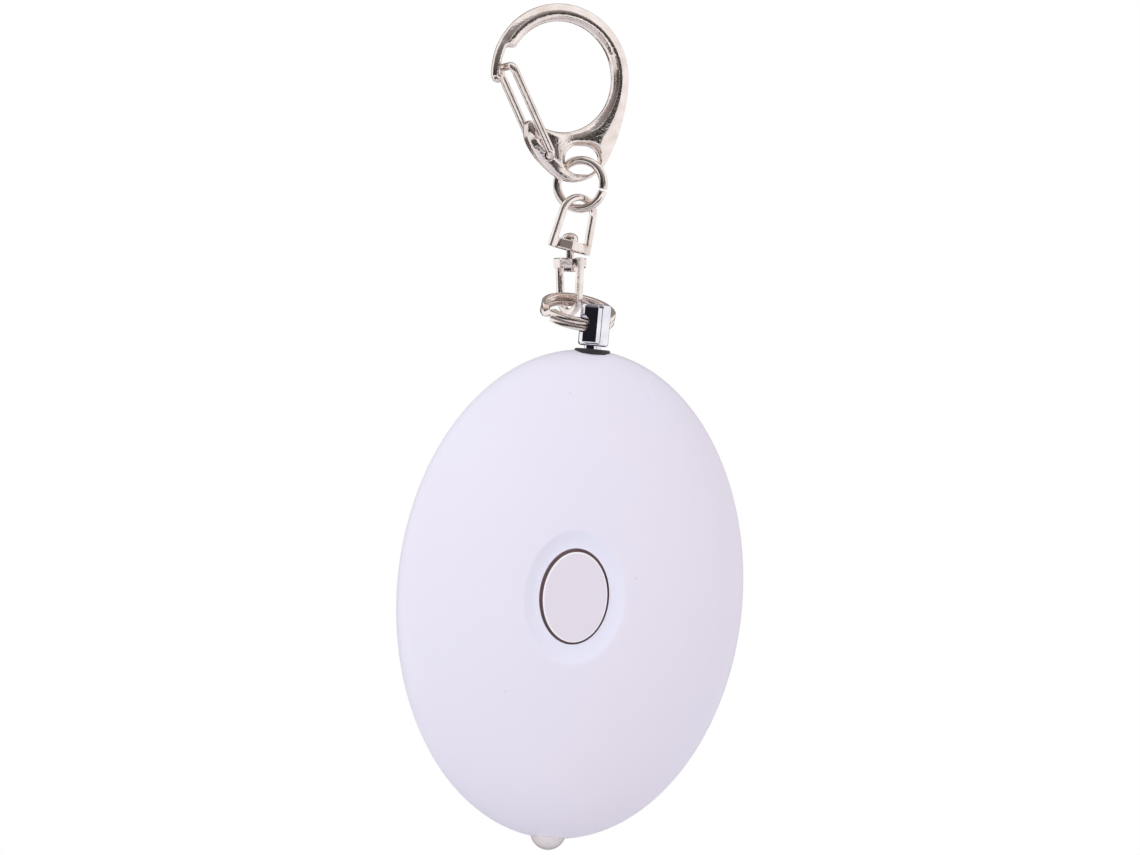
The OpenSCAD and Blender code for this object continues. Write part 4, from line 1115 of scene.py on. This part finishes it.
class ALARM_OT_stage(bpy.types.Operator):
    """White studio: camera, lamps, sky, floor and dark cards that the metal mirrors"""

    bl_idname = "alarm.stage"
    bl_label = "Studio"

    SENSOR_MM = 36
    LAMP_SIZE = 0.5
    # Screens that only mirrors see: metres from the aim, degrees round from the camera, lowest and highest
    # edge and half height of the dark core in metres, and the dark and the pale tone
    SCREENS = (
        ("Dark front screen", 1.2, -96, 18, -2.0, 2.0, 0.1, "202024", "A29E9C"),
        ("Dark side strip", 1.2, 49, 54, -2.0, 2.0, 0.1, "222227", "8A8684"),
        ("Grey right screen", 1.2, 22, 62, 0.095, 2.0, 0.3, "1C1817", "B4B0AE"),
        ("Grey back screen", 1.2, 156, 218, -1.5, 1.5, 0.0, "5A5553", "9A9592"),
        ("Dark low card", 0.16, -85, 52, -0.18, -0.05, 0.05, "1C1817", "4A4442"),
        ("Dark back card", 0.35, 150, 230, -0.115, -0.02, 0.02, "1C1817", "6A6462"),
    )
    # Below 1, a screen turns pale soon after its core
    SCREEN_FADE = 0.45
    # The floor lies this far under the part, and turns white to the eye between two distances
    FLOOR_DROP, FLOOR_RADIUS, FLOOR_SIDES = 60 * MM, 1.5, 64
    FADE_FROM, FADE_TO = 0.1, 0.3

    def sky(self, strength):
        """White to the eye and to mirrors, softer as light on the object."""
        world = bpy.data.worlds.new("White studio")
        bpy.context.scene.world = world
        world.use_nodes = True
        tree = world.node_tree
        tree.nodes.clear()
        seen = self.seen_ray(tree)
        white = add_node(tree, "ShaderNodeBackground", {"Color": linear("FFFFFF"), "Strength": 1.0})
        soft = add_node(tree, "ShaderNodeBackground", {"Color": linear("F8FAFF"), "Strength": strength})
        both = add_node(tree, "ShaderNodeMixShader", {
            0: seen, 1: soft.outputs["Background"], 2: white.outputs["Background"]})
        add_node(tree, "ShaderNodeOutputWorld", {"Surface": both.outputs["Shader"]})

    def seen_ray(self, tree):
        """1 for rays that show the backdrop: straight, mirrored or through glass."""
        path = add_node(tree, "ShaderNodeLightPath")
        mirrored = add_node(tree, "ShaderNodeMath", {
            0: path.outputs["Is Camera Ray"], 1: path.outputs["Is Glossy Ray"]}, operation="MAXIMUM")
        seen = add_node(tree, "ShaderNodeMath", {
            0: mirrored.outputs["Value"], 1: path.outputs["Is Transmission Ray"]}, operation="MAXIMUM")
        return seen.outputs["Value"]

    def lamp(self, name, at, target, watts, code):
        """Round soft lamp that mirrors don't show."""
        light = bpy.data.lights.new(name, "AREA")
        light.shape = "DISK"
        light.size = self.LAMP_SIZE
        light.energy = watts
        light.color = linear(code)[:3]
        lamp = bpy.data.objects.new(name, light)
        lamp.visible_glossy = False
        facing = (target - at).to_track_quat("-Z", "Y").to_matrix().to_4x4()
        lamp.matrix_world = Matrix.Translation(at) @ facing
        bpy.context.scene.collection.objects.link(lamp)

    def screen(self, aim, toward, name, radius, start, end, low, high, core, dark, pale):
        """Upright curved screen: dark near eye level, soon paler further up or down."""
        steps = 24
        verts = []
        for i in range(steps + 1):
            way = Matrix.Rotation(math.radians(start + (end - start) * i / steps), 3, "Z") @ toward * radius
            verts += [aim + way + Vector((0, 0, low)), aim + way + Vector((0, 0, high))]
        faces = [(2 * i, 2 * i + 2, 2 * i + 3, 2 * i + 1) for i in range(steps)]
        screen = piece_from(name, verts, faces)
        material, tree, _ = new_material(name)
        place = add_node(tree, "ShaderNodeNewGeometry").outputs["Position"]
        level = add_node(tree, "ShaderNodeSeparateXYZ", {"Vector": place}).outputs["Z"]
        above = add_node(tree, "ShaderNodeMath", {0: level, 1: aim.z}, operation="SUBTRACT")
        away = add_node(tree, "ShaderNodeMath", {0: above.outputs["Value"]}, operation="ABSOLUTE")
        share = add_node(tree, "ShaderNodeMapRange", {
            "Value": away.outputs["Value"], "From Min": core, "From Max": max(-low, high)})
        soon = add_node(tree, "ShaderNodeMath", {
            0: share.outputs["Result"], 1: self.SCREEN_FADE}, operation="POWER")
        tone = add_node(tree, "ShaderNodeMix", {
            "Factor": soon.outputs["Value"], MIX_A: linear(dark), MIX_B: linear(pale)}, data_type="RGBA")
        glow = add_node(tree, "ShaderNodeEmission", {"Color": tone.outputs[MIX_OUT], "Strength": 1.0})
        tree.links.new(glow.outputs["Emission"], tree.nodes["Material Output"].inputs["Surface"])
        screen.data.materials.append(material)
        screen.visible_camera = False
        screen.visible_diffuse = False
        screen.visible_shadow = False
        screen.visible_transmission = False

    def floor(self, at):
        """White paper: it takes the object's shadow, and fades to plain white further out."""
        rim = arc((at.x, at.y), self.FLOOR_RADIUS, 0, 2 * math.pi, self.FLOOR_SIDES)[:-1]
        floor = piece_from("floor", [(x, y, at.z) for x, y in rim], [tuple(range(self.FLOOR_SIDES))])
        material, tree, shader = new_material("White paper", Base_Color=linear("ECEBEE"), Roughness=0.9)
        place = add_node(tree, "ShaderNodeNewGeometry").outputs["Position"]
        away = add_node(tree, "ShaderNodeVectorMath", {0: place, 1: at}, operation="DISTANCE")
        fade = add_node(tree, "ShaderNodeMapRange", {
            "Value": away.outputs["Value"], "From Min": self.FADE_FROM, "From Max": self.FADE_TO})
        shown = add_node(tree, "ShaderNodeMath", {
            0: fade.outputs["Result"], 1: self.seen_ray(tree)}, operation="MULTIPLY")
        glow = add_node(tree, "ShaderNodeEmission", {"Color": linear("FFFFFF"), "Strength": 1.0})
        both = add_node(tree, "ShaderNodeMixShader", {
            0: shown.outputs["Value"], 1: shader.outputs["BSDF"], 2: glow.outputs["Emission"]})
        tree.links.new(both.outputs["Shader"], tree.nodes["Material Output"].inputs["Surface"])
        floor.data.materials.append(material)

    def camera(self, studio, middle):
        """Sets the camera, and gives the point it aims at with its right, up and toward directions."""
        toward = Vector((-math.sin(studio.azimuth), -math.cos(studio.azimuth), 0))
        up = Vector((-math.sin(studio.tilt), 0, math.cos(studio.tilt)))
        right = up.cross(toward).normalized()
        up = toward.cross(right)
        aim = middle + up * studio.case_drop
        camera = bpy.data.cameras.new("Camera")
        camera.sensor_fit = "HORIZONTAL"
        camera.sensor_width = self.SENSOR_MM
        view_width = studio.view_height * IMAGE_SIZE[0] / IMAGE_SIZE[1]
        camera.lens = camera.sensor_width * studio.distance / view_width
        camera.clip_start = 0.01
        holder = bpy.data.objects.new("Camera", camera)
        holder.matrix_world = Matrix.Translation(aim + toward * studio.distance) @ Matrix(
            (right, up, toward)).transposed().to_4x4()
        bpy.context.scene.collection.objects.link(holder)
        bpy.context.scene.camera = holder
        return aim, right, up, toward

    def execute(self, context):
        studio = context.scene.alarm_studio
        middle = case_place().translation
        aim, right, up, toward = self.camera(studio, middle)
        context.scene.view_settings.view_transform = "Standard"
        self.sky(studio.sky)
        key_at = aim - right * 0.55 + up * 0.35 + toward * 0.45
        fill_at = aim + right * 0.6 + up * 0.05 + toward * 0.4
        self.lamp("Key", key_at, middle, studio.key_power, "F6F8FF")
        self.lamp("Fill", fill_at, middle, studio.fill_power, "FFEFF4")
        for screen in self.SCREENS:
            self.screen(aim, toward, *screen)
        self.floor(Vector((middle.x, middle.y, CAD_BOX[0][2] - self.FLOOR_DROP)))
        return {"FINISHED"}


class ALARM_PT_panel(bpy.types.Panel):
    """Lists the pieces in the 3D view's sidebar"""

    bl_idname = "ALARM_PT_panel"
    bl_label = "Safety alarm"
    bl_space_type = "VIEW_3D"
    bl_region_type = "UI"
    bl_category = "Safety alarm"

    def draw(self, context):
        for operator in OPERATORS:
            self.layout.operator(operator.bl_idname)


GROUPS = {"alarm_clasp": AlarmClasp, "alarm_links": AlarmLinks, "alarm_case": AlarmCase,
          "alarm_finish": AlarmFinish, "alarm_studio": AlarmStudio}
OPERATORS = (
    ALARM_OT_stage, ALARM_OT_clasp, ALARM_OT_jump_ring, ALARM_OT_swivel, ALARM_OT_split_ring, ALARM_OT_pin,
    ALARM_OT_case, ALARM_OT_button, ALARM_OT_lamp, ALARM_OT_inner_parts)


def register():
    for group in (*GROUPS.values(), *OPERATORS, ALARM_PT_panel):
        bpy.utils.register_class(group)
    for name, group in GROUPS.items():
        setattr(bpy.types.Scene, name, PointerProperty(type=group))


def unregister():
    for name in GROUPS:
        delattr(bpy.types.Scene, name)
    for group in (ALARM_PT_panel, *OPERATORS, *GROUPS.values()):
        bpy.utils.unregister_class(group)


def main():
    register()
    bpy.ops.alarm.stage()
    bpy.ops.alarm.clasp()
    bpy.ops.alarm.jump_ring()
    bpy.ops.alarm.swivel()
    bpy.ops.alarm.split_ring()
    bpy.ops.alarm.pin()
    bpy.ops.alarm.case()
    bpy.ops.alarm.button()
    bpy.ops.alarm.lamp()
    bpy.ops.alarm.inner_parts()


if __name__ == "__main__":
    main()
